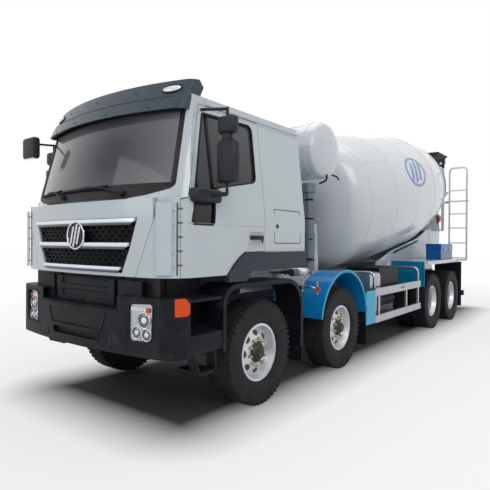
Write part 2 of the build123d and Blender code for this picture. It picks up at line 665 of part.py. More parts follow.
def ladder_platform():
    """Ladder at the rear left corner, its platform and the handrail above."""
    y = 8600.0
    left, right = 800.0, 1200.0
    outer = Pos((left + right) / 2, 2330) * RectangleRounded(right - left + 36, 2496, 110)
    inner = Pos((left + right) / 2, 2330) * RectangleRounded(right - left - 36, 2424, 80)
    ladder = along_y(outer - inner, y - 18, y + 18) - block(left - 60, right + 60, y - 30, y + 30, 1000, 1290)
    for z in (1330, 1700, 2070, 2420, 3000):
        ladder += block(left, right, y - 12, y + 12, z - 12, z + 12)
    platform = block(700, 1215, y - 20, SWING_Y - CHUTE_R - 10, 2725, 2750)
    arm = block(650, 780, y + 40, y + 100, 2695, 2725)
    foot = block(552, 1215, 8540, 8622, 1270, 1302)
    return ladder + platform + arm + foot


# ---------------------------------------------------------------- chute
def chute_bracket():
    """Turning post behind the rear stand; it carries the chute's hinge and the cylinder's foot."""
    post = rod((0, SWING_Y, 1300), (0, SWING_Y, CHUTE_HINGE_Z - 120), 50)
    cap = block(-50, 70, SWING_Y - 240, SWING_Y + 240, CHUTE_HINGE_Z - 145, CHUTE_HINGE_Z - 115)
    parts = post + cap
    for s in (-1, 1):
        parts += block(-50, 60, SWING_Y + s * 235 - 8, SWING_Y + s * 235 + 8, CHUTE_HINGE_Z - 145, CHUTE_HINGE_Z + 40)
    parts += rod((0, SWING_Y - 265, CHUTE_HINGE_Z), (0, SWING_Y - 206, CHUTE_HINGE_Z), 18)
    parts += rod((0, SWING_Y + 206, CHUTE_HINGE_Z), (0, SWING_Y + 265, CHUTE_HINGE_Z), 18)
    fx, fz = CYLINDER_FOOT
    parts += block(fx - 40, 0, SWING_Y - 56, SWING_Y + 56, 1285, 1302)
    parts += rod((fx, SWING_Y - 56, fz), (fx, SWING_Y + 56, fz), PIN_R)
    for s in (-1, 1):
        parts += block(fx - 30, fx + 30, SWING_Y + s * 46 - 10, SWING_Y + s * 46 + 10, 1290, fz + 30)
    return parts


def trough(x0, x1, wall=CHUTE_WALL, r=CHUTE_R):
    """A half-round trough along x about y = 0, z = 0, open upwards."""
    body = rod((x0, 0, 0), (x1, 0, 0), r) - rod((x0 - 1, 0, 0), (x1 + 1, 0, 0), r - wall)
    return body - block(x0 - 2, x1 + 2, -r - 1, r + 1, 0, r + 1)


def chute():
    """The swinging chute: a trough that runs down to the right, with lugs for hinge and rod."""
    body = trough(-CHUTE_LENGTH, 240)
    for s in (-1, 1):
        lug = block(-45, 45, s * 214 - 5, s * 214 + 5, -180, 20)
        body += lug
    body = Pos(0, 0, CHUTE_SEAT) * body
    ex, ez = CHUTE_EYE
    eye = block(ex - 30, ex + 30, -8, 8, ez, CHUTE_SEAT - CHUTE_R + 3) + Pos(ex, 0, ez) * Rot(90, 0, 0) * Cylinder(30, 16)
    body += eye
    body -= Rot(90, 0, 0) * Cylinder(18 + RUNNING, 600)
    return Pos(0, SWING_Y, CHUTE_HINGE_Z) * Rot(0, -CHUTE_SLOPE, 0) * body


def chute_extension():
    """The fold-over end of the chute, lying upside down on the chute."""
    length = 760.0
    body = mirror(trough(-CHUTE_LENGTH + 6, -CHUTE_LENGTH + length), about=Plane.XY)
    body = Pos(0, 0, CHUTE_SEAT + SEAT) * body
    return Pos(0, SWING_Y, CHUTE_HINGE_Z) * Rot(0, -CHUTE_SLOPE, 0) * body


def cylinder_line():
    """Foot pin and rod eye of the chute's cylinder, as (x, z)."""
    slope = radians(CHUTE_SLOPE)
    ex, ez = CHUTE_EYE
    eye = (ex * cos(slope) - ez * sin(slope), CHUTE_HINGE_Z + ex * sin(slope) + ez * cos(slope))
    return CYLINDER_FOOT, eye


def along_cylinder(along, y=0.0, from_eye=False):
    """A point on the cylinder's line: this far from its foot, or back from its rod eye."""
    foot, eye = cylinder_line()
    length = hypot(eye[0] - foot[0], eye[1] - foot[1])
    t = (length - along if from_eye else along) / length
    return foot[0] + t * (eye[0] - foot[0]), SWING_Y + y, foot[1] + t * (eye[1] - foot[1])


def chute_cylinder():
    """Barrel of the cylinder that holds the chute up."""
    foot, _ = cylinder_line()
    barrel = rod(along_cylinder(25), along_cylinder(CYLINDER_END), CYLINDER_R)
    barrel -= rod(along_cylinder(40), along_cylinder(CYLINDER_END + 10), ROD_R + RUNNING)
    barrel += rod((foot[0], SWING_Y - 24, foot[1]), (foot[0], SWING_Y + 24, foot[1]), CYLINDER_R)
    return barrel - rod((foot[0], SWING_Y - 30, foot[1]), (foot[0], SWING_Y + 30, foot[1]), PIN_R + RUNNING)


def chute_rod():
    """Rod of the same cylinder, with a fork round the chute's eye."""
    def back(distance, y=0.0):
        return along_cylinder(distance, y, from_eye=True)

    shape = rod(back(ROD_LENGTH), back(70), ROD_R) + bar(back(75), back(50), 52, 44)
    for s in (-1, 1):
        shape += bar(back(75, s * 20), back(-26, s * 20), 12, 44)
    return shape


# ---------------------------------------------------------------- cab
def cab_form(inset):
    """The cab's outer skin, or with an inset the surface that far inside it."""
    w = CAB_HALF - inset
    plan = plan_outline(w, CAB_FRONT + inset, CAB_BOW, CAB_CORNER_R - inset / 2, 2500)
    lower = along_z(plan, CAB_BOTTOM + inset, COWL_Z)
    rise = CAB_TOP + 60 - COWL_Z
    upper = Solid.extrude((Plane.XY.offset(COWL_Z) * plan).face(), Vector(0, SCREEN_RAKE * rise, rise))
    form = lower + upper
    tumble = outline([
        (-w, CAB_BOTTOM - 50), (w, CAB_BOTTOM - 50), (w, WAIST_Z), (CAB_ROOF_HALF - inset, CAB_TOP - 40 - inset),
        (CAB_ROOF_HALF - inset - 110, CAB_TOP - inset), (-CAB_ROOF_HALF + inset + 110, CAB_TOP - inset),
        (-CAB_ROOF_HALF + inset, CAB_TOP - 40 - inset), (-w, WAIST_Z),
    ])
    return form & along_y(tumble, CAB_FRONT - 100, CAB_REAR - inset)


def door_prism(gap):
    """The left door's outline carried through the cab's side; gap shrinks it."""
    face = outline([
        (DOOR_FRONT + gap, CAB_BOTTOM - 60), (-600, CAB_BOTTOM - 60), (-600, CAB_BOTTOM + gap),
        (-480 - gap, CAB_BOTTOM + gap), (-330 - gap / 2, 1590 + gap), (DOOR_REAR - gap, 1590 + gap),
        (DOOR_REAR - gap, DOOR_TOP - gap), (-945 + gap, DOOR_TOP - gap), (DOOR_FRONT + gap, 2060),
    ])
    inner = CAB_WALL - gap
    sill = plan_outline(CAB_HALF - inner, CAB_FRONT + inner, CAB_BOW, CAB_CORNER_R - CAB_WALL / 2, 500)
    return along_x(face, 900, 1400) - along_z(sill, CAB_BOTTOM - 100, CAB_BOTTOM + CAB_WALL + gap)


def window_prism():
    """The side window: the main pane with its lower front part."""
    face = outline([
        (-960, 2840), (-915, 2860), (-150, 2880), (-110, 2840), (-110, 2330), (-150, 2290), (-700, 2190),
        (-760, 2150), (-790, 1840), (-1080, 1840), (-1095, 2080),
    ])
    return along_x(face, 900, 1400)


def windscreen_cutter():
    """What is cut out of the cab's front for the windscreen, seen from the front."""
    face = outline([(-1095, 2160), (1095, 2160), (1045, 2900), (-1045, 2900)], 50)
    return along_y(face, CAB_FRONT - 60, -880)


def flap_prism(gap):
    """Outline of the front flap, seen from the front."""
    return along_y(outline([(-1000 + gap, CAB_BOTTOM - 20), (1000 - gap, CAB_BOTTOM - 20),
                            (1000 - gap, COWL_Z - gap), (-1000 + gap, COWL_Z - gap)]), CAB_FRONT - 60, -1285 - gap)


def cab_walls():
    """The whole hollow cab before doors, flap and windows are cut from it."""
    tunnel_out = block(-440, 440, -760, CAB_REAR - 1, CAB_BOTTOM - 5, 1720)
    tunnel_in = block(-400, 400, -720, CAB_REAR + 10, CAB_BOTTOM - 10, 1680)
    walls = cab_form(0) - (cab_form(CAB_WALL) - tunnel_out)
    return walls - tunnel_in


def cab_shell():
    """Floor, walls, roof and pillars with the openings for doors, flap and windscreen."""
    shell = cab_walls()
    door = door_prism(0)
    shell = shell - door - mirrored(door) - windscreen_cutter()
    shell -= flap_prism(0) & cab_form(0)
    back = block(-1020, 1020, -1284, -1260, CAB_BOTTOM + 20, COWL_Z + 20)
    shell += back
    arch = along_x(outline([(-600, 1300), (-480, CAB_BOTTOM), (-330, 1590), (CAB_REAR + 20, 1590),
                            (CAB_REAR + 20, 1300)]), 860, 1300)
    shell = shell - arch - mirrored(arch)
    py, pz = TILT_PIVOT
    arm = along_x(outline([(py - 32, pz - 15), (py, pz - 38), (py + 32, pz - 15), (-1010, CAB_BOTTOM + 5),
                           (-1110, CAB_BOTTOM + 5)]), CAB_ARM_IN, CAB_ARM_OUT)
    arm -= rod((CAB_ARM_IN - 5, py, pz), (CAB_ARM_OUT + 5, py, pz), PIVOT_R + RUNNING)
    shell += arm + mirrored(arm)
    for z in HINGE_HEIGHTS:
        pocket = block(DOOR_HINGE[0] - 24, DOOR_HINGE[0] + 40, DOOR_HINGE[1] - HINGE_R - 5, DOOR_FRONT + 1, z, z + 76)
        lower = hinge_barrel(z - 70, z - SEAT / 2, -1)
        shell = shell - pocket - mirrored(pocket) + lower + mirrored(lower)
    for x in FLAP_HINGE_X:
        shell += flap_hinge(x, x + 20 - SEAT / 2, 1)
    return shell


def hinge_barrel(z0, z1, side):
    """Half of a door hinge: a barrel on the pivot line with its leaf, towards the pillar or the door."""
    x, y = DOOR_HINGE
    barrel = rod((x, y, z0), (x, y, z1), HINGE_R)
    far = x - 34 if side > 0 else x - 52
    leaf = outline([(far, y + side * 30), (far + 27, y + side * 30), (x + 6, y), (x - 6, y)])
    return barrel + along_z(leaf, z0, z1)


def flap_hinge(x0, x1, side):
    """Half of a flap hinge: a barrel on the pivot line, its leaf up to the cab or down to the flap."""
    y, z = FLAP_HINGE
    barrel = rod((x0, y, z), (x1, y, z), 6)
    leaf = outline([(y - 5, z), (y + 5, z), (y + 24, z + side * 14), (y + 3, z + side * 14)])
    return barrel + along_x(leaf, x0, x1)


def cab_glass():
    """Windscreen."""
    glass = (cab_form(8) - cab_form(15)) & windscreen_cutter()
    return group(max(glass.solids(), key=lambda s: s.volume))


def door(part):
    """The left door's panel, or the glass in its window."""
    wall = cab_form(0) - cab_form(CAB_WALL)
    if part == "panel":
        panel = (wall & door_prism(SHUT_GAP)) - window_prism()
        panel = max(panel.solids(), key=lambda s: s.volume)
        for z in HINGE_HEIGHTS:
            panel += hinge_barrel(z + SEAT / 2, z + 70, 1)
        return panel
    glass = (cab_form(18) - cab_form(24)) & window_prism()
    return max(glass.solids(), key=lambda s: s.volume)


def mirror_set():
    """Left mirrors: two housings on arms from the door."""
    main = block(1310, MIRROR_HALF, -960, -860, 2200, 2580)
    wide = block(1310, 1500, -960, -860, 2630, 2790)
    post = rod((1400, -905, 2150), (1400, -905, 2870), 14)
    arms = rod((1400, -905, 2860), (1118, -905, 2860), 14) + rod((1400, -905, 2160), (1200, -905, 2160), 14)
    return main + wide + post + arms


def sun_visor():
    """Dark visor over the windscreen, in two steps."""
    ring = plan_outline(CAB_ROOF_HALF + 20, -1330, CAB_BOW, 260, -700)
    inner = plan_outline(CAB_ROOF_HALF - 10, -1300, CAB_BOW, 250, -690)
    visor = along_z(ring, 2960, 3190) - along_z(inner, 2950, 3160)
    cab = cab_form(-SEAT)
    return max((visor - cab).solids(), key=lambda s: s.volume)


def cab_trim():
    """Black plastics of the cab: the strips over the wheel arches."""
    strip = along_x(outline([(-600, 1300), (-480, CAB_BOTTOM), (-330, 1590 - SEAT),
                             (CAB_REAR, 1590 - SEAT), (CAB_REAR, 1400),
                             (-240, 1400), (-330, 1300)]), 1180, BODY_HALF)
    return both_sides(strip)


def cab_interior():
    """Two seats, the bunk behind them, the dashboard and the steering wheel."""
    parts = []
    for s in (-1, 1):
        x = s * 720
        seat = block(x - 260, x + 260, -560, -60, 1700, 1860) + block(x - 240, x + 240, -130, 0, 1860, 2560)
        seat += block(x - 180, x + 180, -500, -150, CAB_BOTTOM + CAB_WALL, 1700)
        parts.append(seat)
    bunk = block(-1100, 1100, 150, CAB_REAR - CAB_WALL - SEAT, 1760, 1900)
    dash = block(-1060, 1060, -1060, -860, 1700, 2080)
    hub = (720, -680, 2092)
    column = rod((720, -900, 1975), hub, 30)
    wheel = Pos(*hub) * Rot(-62, 0, 0) * (Torus(215, 16) + Box(420, 40, 14))
    parts += [bunk, dash + column + wheel]
    return group(*parts)


def front_flap():
    """White flap below the windscreen that opens upwards."""
    skin = (cab_form(0) - cab_form(38)) & flap_prism(SHUT_GAP)
    panel = max(skin.solids(), key=lambda s: s.volume) - grille_opening(0)
    for x in FLAP_HINGE_X:
        panel += flap_hinge(x + 20 + SEAT / 2, x + 40, -1)
    return panel


def grille_opening(gap):
    """Stepped opening of the grille, seen from the front."""
    face = outline([(-640 + gap, 1410 + gap), (640 - gap, 1410 + gap), (740 - gap, 1640), (820 - gap, 1880),
                    (820 - gap, 1900 - gap), (-820 + gap, 1900 - gap), (-820 + gap, 1880), (-740 + gap, 1640)])
    return along_y(face, CAB_FRONT - 80, -1315)


def grille():
    """Grille plate with its three bars."""
    plate = (cab_form(20) - cab_form(34)) & grille_opening(0.3)
    plate = max(plate.solids(), key=lambda s: s.volume)
    bars = None
    for half, top, height in ((816, 1895, 60), (743, 1680, 60), (645, 1465, 50)):
        bar = (cab_form(-6) - cab_form(22)) & block(-half, half, CAB_FRONT - 60, -1280, top - height, top)
        bar = max((bar & grille_opening(0.3)).solids(), key=lambda s: s.volume)
        plate += bar
    return plate


# ---------------------------------------------------------------- assembly
def build_nodes():
    """Every sub-part by name, drawn in the axle frame."""
    nodes = {
        "chassis_frame": chassis_frame(), "mixer_subframe": mixer_subframe(), "drum_gearbox": drum_gearbox(),
        "engine_block": engine_block(), "front_bumper": front_bumper(), "lamps": lamps(),
        "steps_and_mudguards": steps_and_mudguards(), "rear_bogie": rear_bogie(),
        "blue_fenders": blue_fenders(), "battery_and_air_tanks": battery_and_air_tanks(),
        "side_tanks": side_tanks(), "side_guards": side_guards(), "intake_stack": intake_stack(),
        "water_tank": water_tank(), "feed_hopper": feed_hopper(), "ladder_platform": ladder_platform(),
        "drum_shell": drum_shell(), "chute_bracket": chute_bracket(), "chute": chute(),
        "chute_extension": chute_extension(), "chute_cylinder": chute_cylinder(), "chute_rod": chute_rod(),
        "cab_shell": cab_shell(), "cab_glass": cab_glass(), "sun_visor": sun_visor(), "cab_trim": cab_trim(),
        "cab_interior": cab_interior(), "front_flap": front_flap(), "grille": grille(),
    }
    nodes["front_axles"] = group(*[front_axle(y) for y in STEER_AXLES])
    for name, side in (("left", 1), ("right", -1)):
        def sided(shape, side=side):
            return shape if side > 0 else mirrored(shape)
        nodes[f"door_{name}"] = sided(door("panel"))
        nodes[f"door_glass_{name}"] = sided(door("glass"))
        nodes[f"mirrors_{name}"] = sided(mirror_set())
        nodes[f"support_roller_{name}"] = support_roller(side)
        for axle, y in enumerate(STEER_AXLES, 1):
            nodes[f"knuckle_{axle}_{name}"] = Pos(0, y, 0) * sided(knuckle())
            nodes[f"tyre_{axle}_{name}"] = Pos(0, y, TYRE_R) * sided(Pos(STEER_WHEEL_X, 0, 0) * tyre_ring())
            nodes[f"rim_{axle}_{name}"] = Pos(0, y, TYRE_R) * sided(Pos(STEER_WHEEL_X, 0, 0) * steer_rim())
        for axle, y in enumerate(DRIVE_AXLES, 3):
            pair = group(*[Pos(x, 0, 0) * tyre_ring() for x in (TWIN_OUTER_X, TWIN_INNER_X)])
            rims = Pos(TWIN_OUTER_X, 0, 0) * twin_rim(TWIN_OUTER_X - TWIN_INNER_X)
            nodes[f"tyre_{axle}_{name}"] = Pos(0, y, TYRE_R) * sided(pair)
            nodes[f"rim_{axle}_{name}"] = Pos(0, y, TYRE_R) * sided(rims)
    for axle, y in enumerate(STEER_AXLES, 1):
        nodes[f"tie_rod_{axle}"] = tie_rod(y)
    return nodes


def main():
    os.makedirs("parts", exist_ok=True)
    for name, shape in build_nodes().items():
        export_step(Pos(0, ROW_SHIFT, 0) * shape, f"parts/{name}.step")


if __name__ == "__main__":
    main()
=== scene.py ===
"""Looks of the concrete mixer truck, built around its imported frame.

Metres, +Z up. The truck faces -Y and its left side is +X. Places along the truck are counted from the
first axle, as in place(x, y, z), which stands where the frame's own boxes put it. Surfaces that lie on
another one are worked out in metres; solids, which make_solid() puts in, in millimetres.
"""

import json
from math import cos, pi, radians, sin, sqrt

import bmesh
import bpy
import numpy as np
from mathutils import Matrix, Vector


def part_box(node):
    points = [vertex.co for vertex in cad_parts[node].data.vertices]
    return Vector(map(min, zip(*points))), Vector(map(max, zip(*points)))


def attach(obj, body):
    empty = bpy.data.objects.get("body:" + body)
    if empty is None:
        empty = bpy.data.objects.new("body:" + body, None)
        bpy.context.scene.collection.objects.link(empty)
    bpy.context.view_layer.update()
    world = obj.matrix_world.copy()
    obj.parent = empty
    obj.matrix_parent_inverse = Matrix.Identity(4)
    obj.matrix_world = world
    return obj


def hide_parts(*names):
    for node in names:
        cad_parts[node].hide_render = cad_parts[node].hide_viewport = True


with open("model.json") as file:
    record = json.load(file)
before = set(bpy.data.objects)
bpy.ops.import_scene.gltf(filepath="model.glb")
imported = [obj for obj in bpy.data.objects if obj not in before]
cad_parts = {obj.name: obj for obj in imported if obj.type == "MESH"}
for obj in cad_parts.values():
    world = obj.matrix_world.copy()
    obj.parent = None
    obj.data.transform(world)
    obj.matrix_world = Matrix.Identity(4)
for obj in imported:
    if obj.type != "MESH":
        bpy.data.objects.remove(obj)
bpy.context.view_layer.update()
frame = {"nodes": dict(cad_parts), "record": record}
NODES = frame["nodes"]

# ---- places read from the frame ----
WHEELS = {(axle, side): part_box(f"tyre_{axle}_{side}") for axle in (1, 2, 3, 4) for side in ("left", "right")}
FIRST_AXLE = sum(corner.y for corner in WHEELS[1, "left"]) / 2
TYRE_R = (WHEELS[1, "left"][1].z - WHEELS[1, "left"][0].z) / 2
TYRE_W = WHEELS[1, "left"][1].x - WHEELS[1, "left"][0].x
MM = 1000       # millimetres in a metre


def place(x, y, z):
    """A point given from the middle of the truck, the first axle and the ground."""
    return np.array([x, FIRST_AXLE + y, z], float)


# ---------------------------------------------------------------- meshes
def grid_faces(rows, columns, close_rows=False, close_columns=False, start=0):
    """Quads between neighbours of a rows x columns grid of points, closed round where asked."""
    r = np.arange(rows if close_rows else rows - 1)[:, None]
    c = np.arange(columns if close_columns else columns - 1)[None, :]
    r1, c1 = (r + 1) % rows, (c + 1) % columns
    quads = np.stack([r * columns + c, r * columns + c1, r1 * columns + c1, r1 * columns + c], axis=-1)
    return (quads.reshape(-1, 4) + start).tolist()


def joined(*parts):
    """One (points, faces) pair out of several."""
    points, faces, start = [], [], 0
    for p, f in parts:
        points.append(p)
        faces.extend([[i + start for i in face] for face in f])
        start += len(p)
    return np.concatenate(points), faces


def mirrored(part):
    """The same surface on the other side of the truck, its faces turned to point outwards again."""
    points, faces = part
    return points * (-1, 1, 1), [face[::-1] for face in faces]


def both(part):
    """The same surface on both sides of the truck."""
    return joined(part, mirrored(part))


SIDES = (("left", lambda part: part), ("right", mirrored))


def turned(profile, centre, axis="x", segments=48):
    """Profile (along the axis, radius) carried round it: p = centre + a * axis + r * (cos t, sin t).

    The profile runs so that the outside lies to its left; ends at radius 0 close themselves."""
    profile = np.asarray(profile, float)
    t = np.linspace(0, 2 * pi, segments, endpoint=False)
    along = np.repeat(profile[:, :1], segments, 1)
    across, up = profile[:, 1:] * np.cos(t), profile[:, 1:] * np.sin(t)
    order = {"x": (along, across, up), "y": (up, along, across), "z": (across, up, along)}[axis]
    points = np.stack(order, axis=-1).reshape(-1, 3) + np.asarray(centre)
    return points, grid_faces(len(profile), segments, close_columns=True)


def carried(path, section, closed=False):
    """Section (side, up) carried along a path: p = path(i) + side * a(i) + up * b(i).

    a lies level where it can, and b is square to it. Open ends are closed with a cap."""
    path, section = np.asarray(path, float), np.asarray(section, float)
    if closed:
        forward = np.roll(path, -1, 0) - np.roll(path, 1, 0)
    else:
        forward = np.gradient(path, axis=0)
    forward /= np.linalg.norm(forward, axis=1, keepdims=True)
    guide = np.where(np.abs(forward[:, 2:]) > 0.95, [[0.0, 1.0, 0.0]], [[0.0, 0.0, 1.0]])
    side = np.cross(forward, guide)
    side /= np.linalg.norm(side, axis=1, keepdims=True)
    up = np.cross(side, forward)
    points = path[:, None] + section[None, :, :1] * side[:, None] + section[None, :, 1:] * up[:, None]
    n, k = len(path), len(section)
    faces = grid_faces(n, k, close_rows=closed, close_columns=True)
    if not closed:
        faces += [list(range(k))[::-1], [(n - 1) * k + i for i in range(k)]]
    return points.reshape(-1, 3), faces


def circle(radius, sides=12):
    """A round section, anticlockwise."""
    t = np.linspace(0, 2 * pi, sides, endpoint=False)
    return np.stack([radius * np.cos(t), radius * np.sin(t)], axis=1)


def rounded(width, height, radius, steps=4):
    """A rectangular section with round corners, anticlockwise about its middle."""
    t = np.linspace(0, pi / 2, steps + 1)
    corner = np.stack([np.cos(t), np.sin(t)], axis=1) * radius
    quarters = [(1, 1, 0), (-1, 1, 90), (-1, -1, 180), (1, -1, 270)]
    parts = []
    for sx, sy, degrees in quarters:
        c, s = cos(radians(degrees)), sin(radians(degrees))
        middle = (sx * (width / 2 - radius), sy * (height / 2 - radius))
        parts.append(corner @ np.array([[c, -s], [s, c]]).T + middle)
    return np.concatenate(parts)


def ball(centre, radii, rows=10, columns=16):
    """A closed egg: p = centre + radii * (sin a cos b, sin a sin b, cos a)."""
    a = np.linspace(0, pi, rows)[:, None]
    b = np.linspace(0, 2 * pi, columns, endpoint=False)[None, :]
    unit = np.stack([np.sin(a) * np.cos(b), np.sin(a) * np.sin(b), np.cos(a) * np.ones_like(b)], axis=-1)
    faces = [face[::-1] for face in grid_faces(rows, columns, close_columns=True)]
    return unit.reshape(-1, 3) * radii + np.asarray(centre), faces


def copies(part, shifts):
    """The same surface at several places."""
    return joined(*[(part[0] + np.asarray(shift), part[1]) for shift in shifts])


MERGED_WITHIN = 2e-5      # points nearer than this are one


def make(name, part, body, finish, slot, smooth=True):
    """Puts a surface in metres into the scene as a piece that rides on a body; finish is a name in FINISHES."""
    points, faces = part
    mesh = bpy.data.meshes.new(name)
    mesh.from_pydata(np.asarray(points).tolist(), [], faces)
    form = bmesh.new()
    form.from_mesh(mesh)
    bmesh.ops.remove_doubles(form, verts=form.verts, dist=MERGED_WITHIN)
    bmesh.ops.recalc_face_normals(form, faces=form.faces)
    form.to_mesh(mesh)
    form.free()
    mesh.update()
    piece = bpy.data.objects.new(name, mesh)
    bpy.context.scene.collection.objects.link(piece)
    mesh.materials.append(FINISHES[finish])
    if smooth:
        mesh.shade_smooth()
    else:
        mesh.shade_flat()
    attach(piece, body)
    return piece


# ---------------------------------------------------------------- surfaces that pieces lie on
# The cab: half its width, its front, the heights where its shape changes, and how its nose bows and bends.
CAB_HALF, CAB_FRONT, CAB_REAR, ROOF_HALF = 1.22, -1.40, 0.80, 1.10
CAB_FLOOR, WAIST, COWL, ROOF_EDGE, ROOF_TOP = 1.38, 1.95, 2.07, 3.01, 3.05
LOW_BOW, LOW_CORNER, HIGH_BOW, HIGH_CORNER, SCREEN_RAKE = 0.10, 0.29, 0.25, 0.20, 0.27
BUMPER_HALF, BUMPER_FRONT, BUMPER_BOW = 1.245, -1.45, 0.13
VISOR_HALF, VISOR_FRONT, VISOR_BOW, VISOR_FOOT, VISOR_LEAN = 1.085, -1.275, 0.1935, 2.868, 0.5


def spots(x, y, z):
    """Points given from the middle of the truck, the first axle and the ground, as one array."""
    x, y, z = np.broadcast_arrays(*(np.asarray(v, float) for v in (x, y, z)))
    return np.stack([x, FIRST_AXLE + y, z], axis=-1)


def bowed(x, half, front, bow, corner):
    """y of a bowed outline at x: the nose's arc of radius (half^2 + bow^2) / 2 bow, then the corner's arc."""
    big = (half ** 2 + bow ** 2) / (2 * bow)
    turn = half - corner
    nose = front + big - np.sqrt(big ** 2 - np.minimum(np.abs(x), half) ** 2)
    middle = front + big - np.sqrt((big - corner) ** 2 - turn ** 2)
    bend = middle - np.sqrt(np.maximum(corner ** 2 - (np.abs(x) - turn) ** 2, 0))
    return np.where(np.abs(x) < turn * big / (big - corner), nose, bend)


def on_cab(x, z, out):
    """A point of the cab's front at (x, z), moved out of it: upright below the cowl, raked above."""
    low = bowed(x, CAB_HALF + out, CAB_FRONT - out, LOW_BOW, LOW_CORNER + out / 2)
    raked = bowed(x, CAB_HALF + out, CAB_FRONT - out * (1 - SCREEN_RAKE), HIGH_BOW, HIGH_CORNER + out / 2)
    return spots(x, np.where(z < COWL + out, low, raked + SCREEN_RAKE * (z - COWL - out)), z)


def on_side(y, z, out):
    """A point of the cab's left side at (y, z), moved out of it: upright to the waist, leaning in above."""
    lean = np.maximum(z - WAIST, 0) * (CAB_HALF - ROOF_HALF) / (ROOF_EDGE - WAIST)
    return spots(CAB_HALF - lean + out, y, z)


def on_bumper(x, z, out):
    """A point of the bumper's bowed front at (x, z), moved out of it."""
    return spots(x, bowed(x, BUMPER_HALF + out, BUMPER_FRONT - out, BUMPER_BOW, 0.20), z)


def on_visor(x, z, out):
    """A point of the visor's two bands, which lean back; the upper band stands a step further back."""
    front = VISOR_FRONT - out + VISOR_LEAN * (z - VISOR_FOOT) + np.where(z > 2.995, 0.018, 0.0)
    return spots(x, bowed(x, VISOR_HALF + out, front, VISOR_BOW, 0.11), z)


DRUM_AT, DRUM_SLOPE = place(0, 2.75, 2.29), radians(8.5)
DRUM_LINE = [(0.0, 0.55), (0.062, 0.87), (0.30, 1.11), (1.15, 1.20), (3.30, 1.20), (4.50, 1.06), (5.90, 0.56)]


def on_drum(angle, along, out):
    """A point of the drum's skin: along its axis from the front head, angle from the left side upwards."""
    s, r = np.array(DRUM_LINE).T
    radius = np.interp(along, s, r) + out
    side, over = radius * np.cos(angle), radius * np.sin(angle)
    back = np.array([0, cos(DRUM_SLOPE), sin(DRUM_SLOPE)])
    up = np.array([0, -sin(DRUM_SLOPE), cos(DRUM_SLOPE)])
    along = np.broadcast_to(np.asarray(along, float), np.shape(side))
    return DRUM_AT + along[..., None] * back + over[..., None] * up + side[..., None] * np.array([1.0, 0, 0])


def flat(origin, right, up):
    """A plane as a surface: p = origin + a * right + b * up + out * (right x up)."""
    right, up = np.asarray(right, float), np.asarray(up, float)
    normal = np.cross(right, up)

    def lay(a, b, out):
        a, b, out = np.broadcast_arrays(*(np.asarray(v, float) for v in (a, b, out)))
        return origin + a[..., None] * right + b[..., None] * up + out[..., None] * normal
    return lay


# ---------------------------------------------------------------- outlines, plates and rims on surfaces
def eased(points, cut, steps=4):
    """A closed outline with rounded corners: (1-t)^2 A + 2t(1-t) corner + t^2 B.

    A and B lie a cut before and after the corner."""
    p = np.asarray(points, float)
    before, after = np.roll(p, 1, 0) - p, np.roll(p, -1, 0) - p
    lb, la = (np.linalg.norm(v, axis=1, keepdims=True) for v in (before, after))
    reach = np.minimum(cut, np.minimum(lb, la) * 0.49)
    a, b = p + before / lb * reach, p + after / la * reach
    t = np.linspace(0, 1, steps + 1)[None, :, None]
    return ((1 - t) ** 2 * a[:, None] + 2 * t * (1 - t) * p[:, None] + t ** 2 * b[:, None]).reshape(-1, 2)


def dense(outline, step=0.08):
    """The same closed outline with extra points, so that it can follow a curved surface."""
    p = np.vstack([outline, outline[:1]])
    run = np.concatenate([[0], np.cumsum(np.linalg.norm(np.diff(p, axis=0), axis=1))])
    evenly = np.linspace(0, run[-1], int(run[-1] / step) + 4)
    stops = np.unique(np.concatenate([run[:-1], evenly[:-1]]).round(6))
    return np.stack([np.interp(stops, run, p[:, i]) for i in (0, 1)], axis=1)


def disc(a, b, ra, rb=None, sides=20):
    """An ellipse about (a, b) as an outline."""
    return np.array([a, b]) + circle(1.0, sides) * (ra, rb or ra)


def box_outline(a0, a1, b0, b1, cut=0.006):
    """A rectangle with rounded corners as an outline."""
    return eased([(a0, b0), (a1, b0), (a1, b1), (a0, b1)], cut, 3)


def plate(lay, outline, out, sink=0.004, edge=0.002, dome=0.0, rings=3):
    """A plate on a surface: p = lay(m + s (o - m), height), s from 0 to 1 and back, m the outline's middle."""
    outline = np.asarray(outline, float)
    middle = (outline.min(0) + outline.max(0)) / 2
    narrow = 1 - edge / np.linalg.norm(outline - middle, axis=1).max()
    shares = np.linspace(1, 0, rings + 1)[1:]
    levels = [(s, -sink) for s in shares[::-1]] + [(1, -sink), (1, out - edge), (narrow, out)]
    levels += [(s, out + dome * (1 - s ** 2)) for s in shares]
    spread = np.array([s for s, _ in levels])[:, None, None]
    spot = middle + spread * (outline - middle)
    height = np.array([h for _, h in levels])[:, None] * np.ones(len(outline))
    points = lay(spot[..., 0], spot[..., 1], height)
    return points.reshape(-1, 3), grid_faces(len(levels), len(outline), close_columns=True)


def rim(lay, outer, inner, out, sink=0.004, edge=0.002, inner_out=None):
    """A frame between two outlines on a surface: p = lay(inner + s (outer - inner), height) round it."""
    outer, inner = np.asarray(outer, float), np.asarray(inner, float)
    low = out if inner_out is None else inner_out
    levels = [(0.0, -sink), (0.0, low - edge), (0.06, low), (0.94, out), (1.0, out - edge), (1.0, -sink)]
    share = np.array([s for s, _ in levels])[:, None, None]
    spot = inner + share * (outer - inner)
    height = np.array([h for _, h in levels])[:, None] * np.ones(len(outer))
    points = lay(spot[..., 0], spot[..., 1], height)
    return points.reshape(-1, 3), grid_faces(len(levels), len(outer), close_rows=True, close_columns=True)


